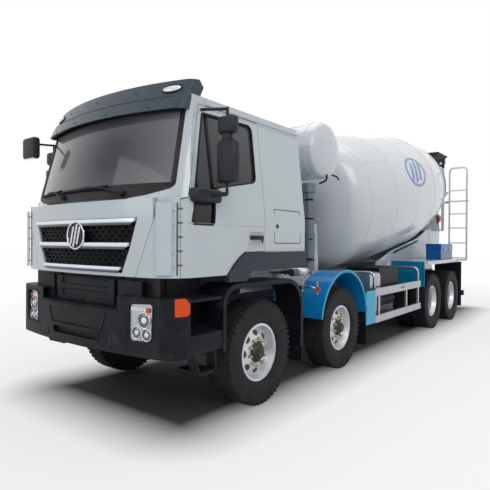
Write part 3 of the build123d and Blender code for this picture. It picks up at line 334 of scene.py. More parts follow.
def grown(outline, by):
    """An outline moved outwards by a distance along its own normals."""
    p = np.asarray(outline, float)
    ahead = np.roll(p, -1, 0) - np.roll(p, 1, 0)
    normal = np.stack([ahead[:, 1], -ahead[:, 0]], axis=1)
    return p + by * normal / np.maximum(np.linalg.norm(normal, axis=1, keepdims=True), 1e-9)


def strip(lay, a, b, width, out, sink=0.003):
    """A flat band along a line of (a, b) points on a surface."""
    line = np.stack(np.broadcast_arrays(np.asarray(a, float), np.asarray(b, float)), axis=1)
    ahead = np.gradient(line, axis=0)
    side = np.stack([-ahead[:, 1], ahead[:, 0]], axis=1)
    side *= width / 2 / np.linalg.norm(side, axis=1, keepdims=True)
    rows = [(line - side, -sink), (line - side, out), (line + side, out), (line + side, -sink)]
    points = np.stack([lay(spot[:, 0], spot[:, 1], np.full(len(line), h)) for spot, h in rows])
    n = len(line)
    return points.reshape(-1, 3), grid_faces(4, n, close_rows=True) + [[0, n, 2 * n, 3 * n],
                                                                     [n - 1, 4 * n - 1, 3 * n - 1, 2 * n - 1]]


def tube(points, radius, sides=12, steps=8):
    """A round bar through places as in place(), its bends eased by the curve of the outlines' corners."""
    p = np.asarray(points, float)
    if len(p) > 2:
        t = np.linspace(0, 1, steps + 1)[:, None]
        runs = [p[:1]]
        for before, corner, after in zip(p, p[1:], p[2:]):
            a, b = (corner + (q - corner) * min(0.49, 4 * radius / np.linalg.norm(q - corner))
                    for q in (before, after))
            runs.append((1 - t) ** 2 * a + 2 * t * (1 - t) * corner + t ** 2 * b)
        p = np.vstack(runs + [p[-1:]])
    return carried(spots(*p.T), circle(radius, sides))


def stud(centre, axis, radius, height, sides=6):
    """A bolt head: a prism with a bevelled top about x, y or z."""
    sign = 1 if height > 0 else -1
    tall = abs(height)
    profile = [(0, 0.0), (0, radius), (tall * 0.8, radius), (tall, radius * 0.8), (tall, 0.0)]
    points, faces = turned([(sign * a, r) for a, r in profile], (0, 0, 0), axis, sides)
    return points + np.asarray(centre), faces


# ---------------------------------------------------------------- closed solids, in millimetres
def prism(outline, axis, start, end, lean=0.0):
    """An outline carried along an axis: (y, z) along x, (x, z) along y or (x, y) along z.

    lean moves y as z grows."""
    flat_points = np.asarray(outline, float)
    ahead = np.roll(flat_points, -1, 0)
    if np.sum(flat_points[:, 0] * ahead[:, 1] - ahead[:, 0] * flat_points[:, 1]) < 0:
        flat_points = flat_points[::-1]
    rows = []
    for at in (start, end):
        level = np.full((len(flat_points), 1), float(at))
        shift = (0, lean * (at - start)) if axis == "z" else (0, 0)
        a, b = (flat_points + shift).T[:, :, None]
        rows.append(np.hstack({"x": (level, a, b), "y": (a, level, b), "z": (a, b, level)}[axis]))
    k = len(flat_points)
    faces = grid_faces(2, k, close_columns=True) + [list(range(k))[::-1], [k + i for i in range(k)]]
    if axis == "y":
        faces = [f[::-1] for f in faces]
    return np.vstack(rows), faces


def brick(x0, x1, y0, y1, z0, z1):
    """A box between two corners."""
    return prism([(x0, y0), (x1, y0), (x1, y1), (x0, y1)], "z", z0, z1)


def bar(p0, p1, radius, sides=20):
    """A round bar between two points."""
    return carried(np.array([p0, p1], float), circle(radius, sides))


def padded_box(x0, x1, y0, y1, z0, z1, radius, steps=4):
    """A box with round edges: p = centre + sign(u) * (half - radius) + radius * u.

    u are the directions of a ball; they keep off the planes between octants, where sign(u) would be 0."""
    turn, off = 4 * steps, 1e-4
    quarter = np.linspace(off, pi / 2 - off, steps)
    a = np.concatenate([quarter, np.linspace(pi / 2 + off, pi - off, steps)])[:, None]
    b = np.concatenate([quarter + i * pi / 2 for i in range(4)])[None, :]
    u = np.stack([np.sin(a) * np.cos(b), np.sin(a) * np.sin(b), np.cos(a) * np.ones_like(b)], axis=-1)
    half = np.array([x1 - x0, y1 - y0, z1 - z0]) / 2
    points = np.array([x0 + x1, y0 + y1, z0 + z1]) / 2 + np.sign(u) * (half - radius) + radius * u
    faces = grid_faces(2 * steps, turn, close_columns=True)
    faces = [face[::-1] for face in faces]
    faces += [list(range(turn)), [(2 * steps - 1) * turn + i for i in range(turn)][::-1]]
    return points.reshape(-1, 3), faces


def plan(half, front, bow, corner, rear, steps=40):
    """A cab or bumper seen from above: the bowed nose with its round corners, and straight sides."""
    x = half * np.sin(np.linspace(-pi / 2, pi / 2, steps + 1))
    nose = np.stack([x, bowed(x, half, front, bow, corner)], axis=1)
    return np.vstack([nose, [(half, rear), (-half, rear)]])


def worked(operation, base, *others):
    """A closed surface cut by others, joined with them, or kept where it lies inside them."""
    objects = []
    for part in (base, *others):
        mesh = bpy.data.meshes.new("work")
        mesh.from_pydata(np.asarray(part[0]).tolist(), [], part[1])
        objects.append(bpy.data.objects.new("work", mesh))
        bpy.context.scene.collection.objects.link(objects[-1])
    for other in objects[1:]:
        step = objects[0].modifiers.new("step", "BOOLEAN")
        step.operation, step.object, step.solver = operation, other, "MANIFOLD"
    result = bpy.data.meshes.new_from_object(objects[0].evaluated_get(bpy.context.evaluated_depsgraph_get()))
    points = np.empty(len(result.vertices) * 3)
    result.vertices.foreach_get("co", points)
    faces = [list(face.vertices) for face in result.polygons]
    for made in objects:
        mesh = made.data
        bpy.data.objects.remove(made)
        bpy.data.meshes.remove(mesh)
    bpy.data.meshes.remove(result)
    return points.reshape(-1, 3), faces


def less(base, *others):
    """A solid with others cut away."""
    return worked("DIFFERENCE", base, *others)


def within(base, *others):
    """The part of a solid that lies inside the others."""
    return worked("INTERSECT", base, *others)


def fused(base, *others):
    """Solids made one."""
    return worked("UNION", base, *others)


def sized(part):
    """From the solids' millimetres about the first axle to the scene's metres."""
    return part[0] / MM + (0, FIRST_AXLE, 0), part[1]


def cab_form(inset):
    """The cab's skin, or the surface that far inside it: at each height z a nose x = w(z) * u, and sides."""
    half, front, rear = MM * CAB_HALF - inset, MM * CAB_FRONT + inset, MM * CAB_REAR - inset
    waist, deck, roof = MM * WAIST, MM * COWL - inset, MM * ROOF_HALF - inset
    edge, top = MM * ROOF_EDGE - inset, MM * ROOF_TOP - inset
    nose = np.sin(np.linspace(-pi / 2, pi / 2, 49))
    rows = []
    lower_part = [(z, False) for z in (MM * CAB_FLOOR + inset, waist, deck)]
    for z, upper in lower_part + [(z, True) for z in (deck, 2400, 2700, edge, top)]:
        w = np.interp(z, [waist, edge, top], [half, roof, roof - 110])
        x = w * nose
        if upper:
            y = bowed(x, half, front - inset * SCREEN_RAKE, MM * HIGH_BOW, MM * HIGH_CORNER - inset / 2)
            y = y + SCREEN_RAKE * (z - deck)
        else:
            y = bowed(x, half, front, MM * LOW_BOW, MM * LOW_CORNER - inset / 2)
        x, y = np.concatenate([x, [w, -w]]), np.concatenate([y, [rear, rear]])
        rows.append(np.stack([x, y, np.full(len(x), z)], axis=1))
    n = len(rows[0])
    faces = grid_faces(len(rows), n, close_columns=True)
    faces += [list(range(n))[::-1], [(len(rows) - 1) * n + i for i in range(n)]]
    return np.vstack(rows), faces


def cab_wall(outer, inner):
    """The skin between two insets."""
    return less(cab_form(outer), cab_form(inner))


def make_solid(name, part, body, finish, slot, replaced=(), edge=0.0, angle=28):
    """A solid as a piece: smooth over its curves, sharp at its edges, which a narrow bevel may round."""
    piece = make(name, sized(part), body, finish, slot)
    piece.data.set_sharp_from_angle(angle=radians(angle))
    if edge:
        bevel = piece.modifiers.new("rim", "BEVEL")
        bevel.width, bevel.segments, bevel.limit_method, bevel.angle_limit = edge, 2, "ANGLE", radians(50)
        bevel.harden_normals = True
    if replaced:
        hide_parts(*replaced)
    return piece


# ---------------------------------------------------------------- the cab's panels
ARCH = [(-605, 1380), (-520, 1467), (-420, 1545), (-330, 1590)]
SCREEN_CORNERS = [(-1095, 2160), (1095, 2160), (1045, 2900), (-1045, 2900)]
WINDOW_CORNERS = [(-868, 2845), (-845, 2862), (-150, 2880), (-110, 2840), (-110, 2330), (-150, 2290),
                  (-700, 2190), (-760, 2150), (-790, 1840), (-1078, 1840), (-1045, 2085)]
GRILLE_EDGE = [(1410, 640), (1640, 740), (1880, 820)]       # height, half width
GRILLE_BARS = ((816, 1895, 60), (743, 1680, 60), (645, 1465, 50))       # half width, top, height


def door_prism(gap):
    """The left door's outline carried through the cab's side; gap shrinks it."""
    face = [(-1190 + gap, 1320), (ARCH[0][0] - gap, 1320)] + [(y - gap, z + gap * 0.6) for y, z in ARCH]
    face += [(-gap, 1590 + gap), (-gap, 2935 - gap), (-905 + gap, 2935 - gap), (-1112 + gap, 2075 - gap),
             (-1190 + gap, 2055 - gap)]
    return prism(face, "x", 900, 1400)


def flap_prism(gap):
    """The front flap's outline carried through the cab's front."""
    low, top = 800 - gap, 1040 - gap
    face = [(-low, 1360), (low, 1360), (top, 1950), (top, 2070 - gap), (-top, 2070 - gap), (-top, 1950)]
    return prism(face, "y", -1460, -1285 - gap)


def grille_opening(gap):
    """The grille's outline, narrower towards the bottom."""
    half = [(640 - gap, 1410 + gap), (740 - gap, 1640), (820 - gap, 1880), (820 - gap, 1900 - gap)]
    return prism(half + [(-x, z) for x, z in half[::-1]], "y", -1480, -1315)


def grille_holes():
    """Long hexagonal holes in two bands of four offset rows."""
    step, half_hole, half_high, frame_width = 90, 38, 14.5, 18
    hexagon = [(half_hole, 0), (half_hole / 2, half_high), (-half_hole / 2, half_high), (-half_hole, 0),
               (-half_hole / 2, -half_high), (half_hole / 2, -half_high)]
    heights, widths = zip(*GRILLE_EDGE)
    holes = []
    for low, high in ((1470, 1616), (1684, 1832)):
        for row in range(4):
            z = low + (high - low) / 4 * (row + 0.5)
            for i in range(-9, 10):
                x = (i + (row % 2) / 2) * step
                if abs(x) + half_hole < np.interp(z - 15, heights, widths) - frame_width:
                    holes.append(prism([(x + dx, z + dz) for dx, dz in hexagon], "y", -1460, -1280))
    return joined(*holes)


def add_cab():
    """Shell, doors, glass, flap and grille, cut from one form so that their gaps follow it."""
    doors = door_prism(0), mirrored(door_prism(0))
    arch = prism([(ARCH[0][0], 1300), *ARCH, (820, 1590), (820, 1300)], "x", 860, 1300)
    front = prism(eased(SCREEN_CORNERS, 55, 5), "y", -1460, -880)
    wall = cab_wall(0, 45)
    tunnel_opening = brick(-400, 400, -720, 810, 1370, 1430)
    shell = less(wall, *doors, front, arch, mirrored(arch), flap_prism(0), tunnel_opening)
    cross_wall = fused(brick(-1060, 1060, -1284, -1260, 1400, 2090),
                       brick(-1080, 1080, -1400, -1258, 2070, 2090))
    back = within(cab_form(10), cross_wall)
    tunnel = less(brick(-440, 440, -760, 799, 1380, 1720), brick(-400, 400, -720, 790, 1370, 1680))
    arm = prism([(-1232, 1035), (-1200, 1012), (-1168, 1035), (-1010, 1385), (-1110, 1385)], "x", 486, 522)
    arm = less(arm, bar((480, -1200, 1050), (530, -1200, 1050), 22.5))
    make_solid("cab_body", fused(shell, back), "cab", "cab_white", "cab_white", ("cab_shell",), 0.004)
    make_solid("cab_tunnel", tunnel, "cab", "interior", "interior")
    make_solid("cab_tilt_arms", both(arm), "cab", "frame_black", "frame_black")
    make_solid("windscreen", within(cab_wall(8, 15), front), "cab", "glass", "glass", ("cab_glass",))
    window = prism(eased(WINDOW_CORNERS, 35, 4), "x", 900, 1400)
    panel = less(within(wall, door_prism(7)), window)
    pane = within(cab_wall(18, 24), window)
    for side, sided in SIDES:
        body = f"door_{side}"
        make_solid(f"door_panel_{side}", sided(panel), body, "cab_white", "cab_white", (body,), 0.003)
        make_solid(f"door_pane_{side}", sided(pane), body, "glass_side", "glass", (f"door_glass_{side}",))
    in_front = brick(-1000, 1000, -1500, -1100, 1300, 2200)
    flap = less(within(cab_wall(0, 38), flap_prism(7), in_front), grille_opening(0))
    make_solid("flap_panel", flap, "front_flap", "cab_white", "cab_white", ("front_flap",), 0.003)
    mesh = less(within(cab_wall(20, 34), grille_opening(0.3)), grille_holes())
    make_solid("grille_mesh", mesh, "front_flap", "grille_black", "black_plastic", ("grille",))
    # A dark sheet behind the grille: partly the dark radiator, partly painted shade seen through the mesh
    backing = within(cab_wall(50, 54), grille_opening(1))
    make_solid("grille_radiator_and_shade", backing, "cab", "seal_black", "black_plastic")
    bars = []
    for half, top, height in GRILLE_BARS:
        shoulder, foot = top - height * 0.55, top - height
        ends = prism([(-half, top), (half, top), (half - 12, shoulder), (half - 50, foot), (50 - half, foot),
                      (12 - half, shoulder)], "y", -1460, -1290)
        bars.append(within(cab_wall(-24, 19), ends))
    make_solid("grille_bars", joined(*bars), "front_flap", "chrome", "steel", edge=0.006)
    vane = within(cab_wall(-32, -24), brick(1056, 1165, -1460, -1160, 1410, 2020))
    ribs = [within(cab_wall(-28, 6), brick(x, x + 14, -1460, -1160, z - 5, z + 5))
            for z in (1470, 1592.5, 1715, 1837.5, 1960) for x in (1058, 1149)]
    make_solid("corner_vanes", both(joined(vane, *ribs)), "cab", "cab_white", "cab_white", edge=0.003)


# middles of the door mirrors and of the front mirror's housing
MIRROR_Y = -835
FRONT_MIRROR = (-1140, -1265, 2740)


def add_cab_plastics():
    """Visor, strips over the wheel arches, the front mirror and the mirrors on the doors."""
    bands = []
    bow, skin = MM * VISOR_BOW, cab_form(-0.3)
    ends = prism([(-1500, 2858), (-925, 2858), (-800, 3105), (-860, 3175), (-1500, 3175)], "x", -1300, 1300)
    for z0, z1, step in ((2868, 3000, 0), (2990, 3165, 18)):
        start = MM * VISOR_FRONT + VISOR_LEAN * (z0 - MM * VISOR_FOOT) + step
        outer = prism(plan(MM * VISOR_HALF, start, bow, 110, -700), "z", z0, z1, VISOR_LEAN)
        hollow = plan(1060, start + 25, bow, 95, -690)
        if step:
            inner = prism(hollow, "z", z0, z1 - 25, VISOR_LEAN)
        else:
            inner = prism(hollow, "z", z0 - 5, z1 + 5, VISOR_LEAN)
            inner = inner[0] - (0, 5 * VISOR_LEAN, 0), inner[1]
        bands.append(less(within(less(outer, inner), ends), skin))
    make_solid("visor_bands", joined(*bands), "cab", "visor", "visor", ("sun_visor",), 0.005)
    gap = 0.3
    over_arch = prism([(ARCH[0][0] + gap, 1310), *[(y + gap, z - gap) for y, z in ARCH], (800, 1590 - gap),
                       (800, 1400), (-240, 1400), (-330, 1310)], "x", 1180, 1245)
    x, y, z = FRONT_MIRROR
    head = padded_box(x - 130, x + 130, y - 45, y + 45, z - 120, z + 120, 34)
    stalk = bar((x - 20, y + 30, z + 60), (x + 10, y + 290, z + 78), 12)
    make_solid("arch_strips", both(over_arch), "cab", "arch_grey", "black_plastic", ("cab_trim",), 0.008)
    make_solid("front_mirror", joined(head, stalk), "cab", "mirror_black", "black_plastic")
    y = MIRROR_Y
    main = padded_box(1310, 1520, y - 52, y + 48, 2200, 2580, 36)
    wide_angle = padded_box(1315, 1505, y - 50, y + 46, 2630, 2790, 34)
    kerb = padded_box(1170, 1300, -1100, -768, 2035, 2155, 30)
    knuckle = padded_box(1352, 1448, y - 34, y + 34, 2560, 2660, 24)
    rods = [bar((1400, y, 2100), (1400, y, 2865), 14), bar((1400, y, 2852), (1090, y - 32, 2890), 14),
            bar((1250, y - 60, 2100), (1400, y, 2110), 20)]
    housings = joined(main, wide_angle, kerb, knuckle, *rods)
    for side, sided in SIDES:
        make_solid(f"mirror_housings_{side}", sided(housings), f"door_{side}", "mirror_black",
                   "black_plastic", (f"mirrors_{side}",))


# ---------------------------------------------------------------- shader maths
class Value:
    """A shader socket that can be reckoned with like a number: each operation adds a Math node."""

    def __init__(self, socket):
        self.socket = socket

    def maths(self, operation, *others, clamp=False):
        """One Math node; others are its inputs, numbers or sockets."""
        tree = self.socket.id_data
        node = tree.nodes.new("ShaderNodeMath")
        node.operation, node.use_clamp = operation, clamp
        for into, value in zip(node.inputs, others):
            if isinstance(value, Value):
                tree.links.new(value.socket, into)
            else:
                into.default_value = value
        return Value(node.outputs[0])

    def __add__(self, other):
        return self.maths("ADD", self, other)

    def __sub__(self, other):
        return self.maths("SUBTRACT", self, other)

    def __rsub__(self, other):
        return self.maths("SUBTRACT", other, self)

    def __mul__(self, other):
        return self.maths("MULTIPLY", self, other)

    def __truediv__(self, other):
        return self.maths("DIVIDE", self, other)

    def between(self, low, high):
        """0 below low, 1 above high, a straight ramp between."""
        return self.maths("MULTIPLY", self - low, 1 / (high - low), clamp=True)

    def beyond(self, edge):
        """0 below the edge, 1 above."""
        return self.maths("GREATER_THAN", self, edge)

    def most(self, other):
        """The greater of the two."""
        return self.maths("MAXIMUM", self, other)

    def size(self):
        return self.maths("ABSOLUTE", self)

    def root(self):
        return self.maths("SQRT", self)

    def wave(self, step):
        """Goes 0 to 1 and back once every step."""
        return self.maths("PINGPONG", self, step / 2) / (step / 2)

    __radd__, __rmul__ = __add__, __mul__


class Finish:
    """One material: a Principled shader and the nodes that feed it. Constants sit on its own sockets."""

    def __init__(self, name, colour, roughness=0.5, **constants):
        self.material = bpy.data.materials.new(name)
        self.material.use_nodes = True
        self.tree = self.material.node_tree
        self.shader = self.tree.nodes["Principled BSDF"]
        self.shader.inputs["Base Color"].default_value = (*colour, 1)
        self.shader.inputs["Roughness"].default_value = roughness
        for socket, value in constants.items():
            self.shader.inputs[socket.replace("_", " ")].default_value = value
        where = self.tree.nodes.new("ShaderNodeTexCoord")
        self.spot = Value(where.outputs["Object"])
        split = self.tree.nodes.new("ShaderNodeSeparateXYZ")
        self.tree.links.new(self.spot.socket, split.inputs[0])
        self.x, self.y, self.z = (Value(o) for o in split.outputs)

    def node(self, kind, **inputs):
        """Adds a node, sets or links its inputs, and gives its first output."""
        node = self.tree.nodes.new(kind)
        for name, value in inputs.items():
            into = [s for s in node.inputs if s.name == name.replace("_", " ") and s.enabled][0]
            if isinstance(value, Value):
                self.tree.links.new(value.socket, into)
            else:
                into.default_value = value
        return Value([s for s in node.outputs if s.enabled][0])

    def noise(self, scale, detail, roughness=0.5, spot=None):
        """Blender's noise over the piece, from 0 to 1."""
        return self.node("ShaderNodeTexNoise", Vector=spot or self.spot, Scale=scale, Detail=detail,
                         Roughness=roughness)

    def stretched(self, x, y, z):
        """The place on the piece, with each direction drawn out or pressed together."""
        return self.node("ShaderNodeMapping", Vector=self.spot, Scale=(x, y, z))

    def mixed(self, mask, low, high):
        """Colour low where the mask is 0, high where it is 1."""
        low, high = ((*c, 1) if isinstance(c, tuple) and len(c) == 3 else c for c in (low, high))
        node = self.tree.nodes.new("ShaderNodeMix")
        node.data_type = "RGBA"
        for index, value in ((0, mask), (6, low), (7, high)):       # factor and the two colours
            if isinstance(value, Value):
                self.tree.links.new(value.socket, node.inputs[index])
            else:
                node.inputs[index].default_value = value
        return Value(node.outputs[2])

    def feed(self, socket, value):
        """Links a value to one of the shader's sockets."""
        self.tree.links.new(value.socket, self.shader.inputs[socket])
        return self

    def bumped(self, height, distance):
        """Relief: height from 0 to 1 stands for that distance in metres."""
        normal = self.node("ShaderNodeBump", Height=height, Distance=distance, Strength=1.0)
        return self.feed("Normal", normal)


DUST = (0.42, 0.40, 0.37)


def scaled(colour, by):
    """A colour made darker or, up to 1, brighter."""
    return tuple(min(1, channel * by) for channel in colour)


def paint(name, colour, gloss, dust, low, high, coat=0.6):
    """Vehicle paint: a clear coat over colour with orange peel, and road dust that thins from low to high."""
    f = Finish(name, colour, gloss, Coat_Weight=coat, Coat_Roughness=0.06,
               Specular_IOR_Level=0.2 + 0.5 * coat)
    cloud = f.noise(2.2, 5, 0.6)
    fall = 1 - f.z.between(low, high)
    film = (fall * cloud.between(0.35, 0.75) * dust).most(cloud.between(0.62, 0.95) * dust * 0.25)
    shade = f.mixed(f.noise(0.8, 2), scaled(colour, 0.96), scaled(colour, 1.03))
    f.feed("Base Color", f.mixed(film, shade, DUST))
    f.feed("Roughness", film * 0.5 + f.noise(9, 4) * 0.06 + (gloss - 0.03))
    return f.bumped(f.noise(260, 2), 0.00012).material


def plastic(name, colour, roughness, grain=900, shine=0.22):
    """Moulded plastic with a fine grain, paler where it is worn and dusty."""
    f = Finish(name, colour, roughness, Specular_IOR_Level=shine)
    worn = f.noise(6, 5, 0.65).between(0.5, 0.8)
    dusty = tuple(0.5 * c + 0.5 * d * 0.35 for c, d in zip(colour, DUST))
    f.feed("Base Color", f.mixed(worn * 0.35, colour, dusty))
    f.feed("Roughness", worn * 0.12 + f.noise(30, 3) * 0.1 + (roughness - 0.08))
    return f.bumped(f.noise(grain, 3), 0.0003).material


def rubber():
    """Tyre rubber: near black, with grey-brown dust in patches."""
    f = Finish("tyre_rubber", (0.022, 0.022, 0.024), 0.8, Specular_IOR_Level=0.25)
    dusty = f.noise(7, 6, 0.62).between(0.42, 0.78)
    fine = f.noise(120, 3)
    f.feed("Base Color", f.mixed(dusty * 0.45, (0.010, 0.011, 0.014), (0.060, 0.057, 0.054)))
    f.feed("Roughness", dusty * 0.12 + fine * 0.08 + 0.68)
    return f.bumped(fine, 0.0006).material


def metal(name, colour, roughness, metallic, dirt, streak=(1, 1, 1)):
    """Bare or silver metal, brushed along the streak, with dirt lying in patches."""
    f = Finish(name, colour, roughness, Metallic=metallic)
    dirty = f.noise(5, 6, 0.65).between(0.48, 0.8) * dirt
    brushed = f.noise(40, 4, 0.6, f.stretched(*streak))
    f.feed("Base Color", f.mixed(dirty, colour, scaled(DUST, 0.35)))
    f.feed("Metallic", (1 - dirty) * metallic)
    f.feed("Roughness", dirty * 0.4 + brushed * 0.14 + (roughness - 0.06))
    return f.bumped(brushed, 0.0002).material


def cast(name, colour, roughness=0.62):
    """Sand-cast or forged iron under black paint: pitted, with brown dust."""
    f = Finish(name, colour, roughness, Metallic=0.25)
    pits = f.noise(90, 4, 0.6)
    dusty = f.noise(4, 6, 0.65).between(0.4, 0.75)
    f.feed("Base Color", f.mixed(dusty * 0.5, colour, scaled(DUST, 0.28)))
    f.feed("Roughness", dusty * 0.2 + pits * 0.1 + (roughness - 0.1))
    return f.bumped(pits, 0.0008).material


def glass(name, low, high, z0, z1, middle=None):
    """Tinted pane with a painted reflection, lighter from its lower edge to its upper one, or outwards from a
    dark middle.
    """
    f = Finish(name, high, 0.06, Coat_Weight=0.1, Coat_Roughness=0.02, Specular_IOR_Level=0.35)
    # Painted reflection: the pane's colour grows lighter upwards, or away from its middle
    if middle:
        aside, above = f.x - middle[0], (f.z - middle[1]) * 1.2
        reach = (aside * aside + above * above).root()
        f.feed("Base Color", f.mixed(reach.between(0.15, 1.15), low, high))
    else:
        f.feed("Base Color", f.mixed(f.z.between(z0, z1), low, high))
    f.feed("Alpha", f.z.between(z0, z1) * 0.06 + 0.9)
    return f.material


def hopper():
    """Mixer paint below and black rubber above, where the hopper's funnel starts."""
    funnel_foot = 3.60
    f = Finish("hopper_paint", (0.5, 0.5, 0.5), 0.4, Specular_IOR_Level=0.3)
    funnel = (f.z + f.noise(2, 2) * 0.004).beyond(funnel_foot)
    f.feed("Base Color", f.mixed(funnel, (0.56, 0.64, 0.70), (0.018, 0.020, 0.024)))
    f.feed("Roughness", funnel * 0.3 + 0.35)
    return f.bumped(f.noise(260, 2), 0.00012).material


def chrome():
    """Plated bars with a painted reflection: bright along the upper part of each and dark below, as plating
    would mirror the ground.
    """
    f = Finish("chrome", (0.5, 0.5, 0.5), 0.08, Metallic=1.0)
    upper = None
    for _, top, height in GRILLE_BARS:
        top, height = top / MM, height / MM
        part = (f.z - (top - height)).between(0.30 * height, 0.55 * height) * (1 - f.z.beyond(top + 0.02))
        upper = upper.most(part) if upper else part
    # Painted reflection: light colour on each bar's upper part, dark colour below it
    f.feed("Base Color", f.mixed(upper, (0.10, 0.11, 0.14), (0.72, 0.76, 0.82)))
    return f.feed("Roughness", f.noise(5, 4) * 0.12 + 0.05).material


def cloth():
    """Woven seat cloth: two crossed threads and a little wear."""
    f = Finish("seat_weave", (0.05, 0.052, 0.058), 0.9, Sheen_Weight=0.3)
    thread = 0.004
    weave = f.x.wave(thread).most((f.z + f.y).wave(thread))
    worn = f.noise(5, 4).between(0.45, 0.75)
    f.feed("Base Color", f.mixed(weave * 0.4 + worn * 0.3, (0.035, 0.037, 0.042), (0.11, 0.11, 0.12)))
    return f.bumped(weave + f.noise(200, 2) * 0.5, 0.0006).material


FINISHES = {
    "frame_black": plastic("frame_paint", (0.016, 0.017, 0.020), 0.42, 400),
    "mixer_white": paint("mixer_paint", (0.56, 0.64, 0.70), 0.28, 0.35, 0.6, 2.4),
    "cab_white": paint("cab_paint", (0.49, 0.55, 0.59), 0.2, 0.2, 0.6, 2.0),
    "drum_white": paint("drum_paint", (0.67, 0.71, 0.75), 0.3, 0.3, 1.0, 2.6),
    "fender_blue": paint("azure_paint", (0.006, 0.165, 0.42), 0.2, 0.25, 0.4, 1.6),
    "black_plastic": plastic("black_plastic", (0.007, 0.008, 0.012), 0.5, 900, 0.15),
    "visor": plastic("slate_plastic", (0.045, 0.064, 0.084), 0.28, 300),
    # cab_glass and side_glass carry painted reflections in their colour
    "glass": glass("cab_glass", (0.028, 0.030, 0.050), (0.26, 0.255, 0.265), 2.1, 2.9, (0.30, 2.50)),
    "lamp_glass": metal("lamp_face", (0.72, 0.74, 0.77), 0.12, 0.6, 0.1),
    "interior": plastic("interior_trim", (0.06, 0.06, 0.065), 0.6),
    "tyre": rubber(),
    "wheel_silver": metal("wheel_paint", (0.62, 0.64, 0.67), 0.36, 0.75, 0.3),
    "cast": cast("cast_iron", (0.035, 0.035, 0.037)),
    "alloy": metal("brushed_aluminium", (0.42, 0.44, 0.47), 0.34, 1.0, 0.3, (1, 0.05, 1)),
    "steel": metal("bright_steel", (0.60, 0.61, 0.63), 0.22, 1.0, 0.15),
    "roller_red": paint("roller_paint", (0.33, 0.02, 0.02), 0.35, 0.4, 1.6, 2.6),
    "seal_black": plastic("rubber_seal", (0.012, 0.012, 0.014), 0.5, 500),
    "mirror_black": plastic("mirror_plastic", (0.016, 0.019, 0.025), 0.45, 1200),
    "grille_black": plastic("grille_plastic", (0.004, 0.0042, 0.006), 0.5, 600, 0.08),
    "glass_side": glass("side_glass", (0.006, 0.007, 0.008), (0.07, 0.072, 0.080), 1.9, 2.8),
    "chrome": chrome(),
    # shade_white is painted shade: the white paint darkened for a recess
    "shade_white": paint("recess_painted_shade", (0.42, 0.43, 0.44), 0.3, 0.3, 0.6, 2.0),
    # seam_shadow_grey is painted shadow along seams and edges
    "seam_shadow_grey": plastic("seam_shadow", (0.12, 0.125, 0.13), 0.6, 400),
    "lamp_clear": metal("lamp_cover", (0.75, 0.78, 0.80), 0.1, 0.3, 0.05),
    "mirror_glass": metal("mirror_glass", (0.70, 0.72, 0.74), 0.05, 1.0, 0.05),
    "wheel_nut": metal("nut_steel", (0.46, 0.38, 0.24), 0.32, 1.0, 0.4),
    "hub_black": cast("hub_paint", (0.025, 0.025, 0.027), 0.5),
    "lamp_silver": metal("lamp_housing", (0.45, 0.47, 0.50), 0.25, 0.85, 0.1),
    "amber": plastic("amber_lens", (0.72, 0.075, 0.004), 0.15, 200),
    "red_lens": plastic("red_lens", (0.55, 0.01, 0.01), 0.15, 200),
    "tank_white": paint("tank_paint", (0.58, 0.62, 0.68), 0.28, 0.3, 1.8, 3.0),
    "azure": paint("azure_gloss", (0.000, 0.20, 0.52), 0.2, 0.04, 0.4, 1.5, 0.12),
    "azure_lip": paint("azure_edge", (0.000, 0.40, 0.66), 0.2, 0.03, 0.3, 1.3, 0.12),
    "teal": paint("teal_panel", (0.000, 0.20, 0.40), 0.25, 0.05, 0.6, 1.6, 0.12),
    "tool_blue": paint("toolbox_paint", (0.000, 0.095, 0.34), 0.25, 0.04, 1.0, 2.0, 0.12),
    "deck_white": paint("deck_paint", (0.50, 0.62, 0.72), 0.3, 0.4, 1.0, 2.0),
    "mark_blue": paint("mark_paint", (0.035, 0.14, 0.50), 0.3, 0.1, 1.0, 2.0),
    "lamp_bowl": metal("lamp_bowl", (0.16, 0.17, 0.18), 0.1, 0.9, 0.05),
    "seat_cloth": cloth(),
    "pipe_grey": metal("pipe_paint", (0.13, 0.16, 0.20), 0.45, 0.3, 0.3),
    "arch_grey": plastic("arch_plastic", (0.030, 0.038, 0.052), 0.5),
    "hopper": hopper(),
    "bright_chrome": metal("bright_chrome", (0.62, 0.64, 0.68), 0.08, 1.0, 0.1),
    "steel_ring": metal("ring_steel", (0.25, 0.24, 0.23), 0.4, 0.9, 0.5),
}


# CAD nodes that are seen as they are, but not in the finish of their slot
OWN_FINISH = {"intake_stack": "pipe_grey", "feed_hopper": "hopper"}


def finish_frame():
    """Gives every CAD node the finish of its material slot."""
    for piece in frame["record"]["subparts"]:
        mesh = NODES[piece["node"]].data
        mesh.materials.clear()
        mesh.materials.append(FINISHES[OWN_FINISH.get(piece["node"], piece["material_slot"])])


# ---------------------------------------------------------------- wheels
def bent(points, steps=5):
    """A smooth open line through a few places, by cubic pieces whose slopes come from the neighbours."""
    p = np.asarray(points, float)
    slope = np.gradient(p, axis=0)
    t = np.linspace(0, 1, steps, endpoint=False)[None, :, None]
    a, b, ma, mb = p[:-1, None], p[1:, None], slope[:-1, None], slope[1:, None]
    curve = (2 * t ** 3 - 3 * t ** 2 + 1) * a + (t ** 3 - 2 * t ** 2 + t) * ma
    curve = curve + (3 * t ** 2 - 2 * t ** 3) * b + (t ** 3 - t ** 2) * mb
    return np.vstack([curve.reshape(-1, p.shape[1]), p[-1:]])


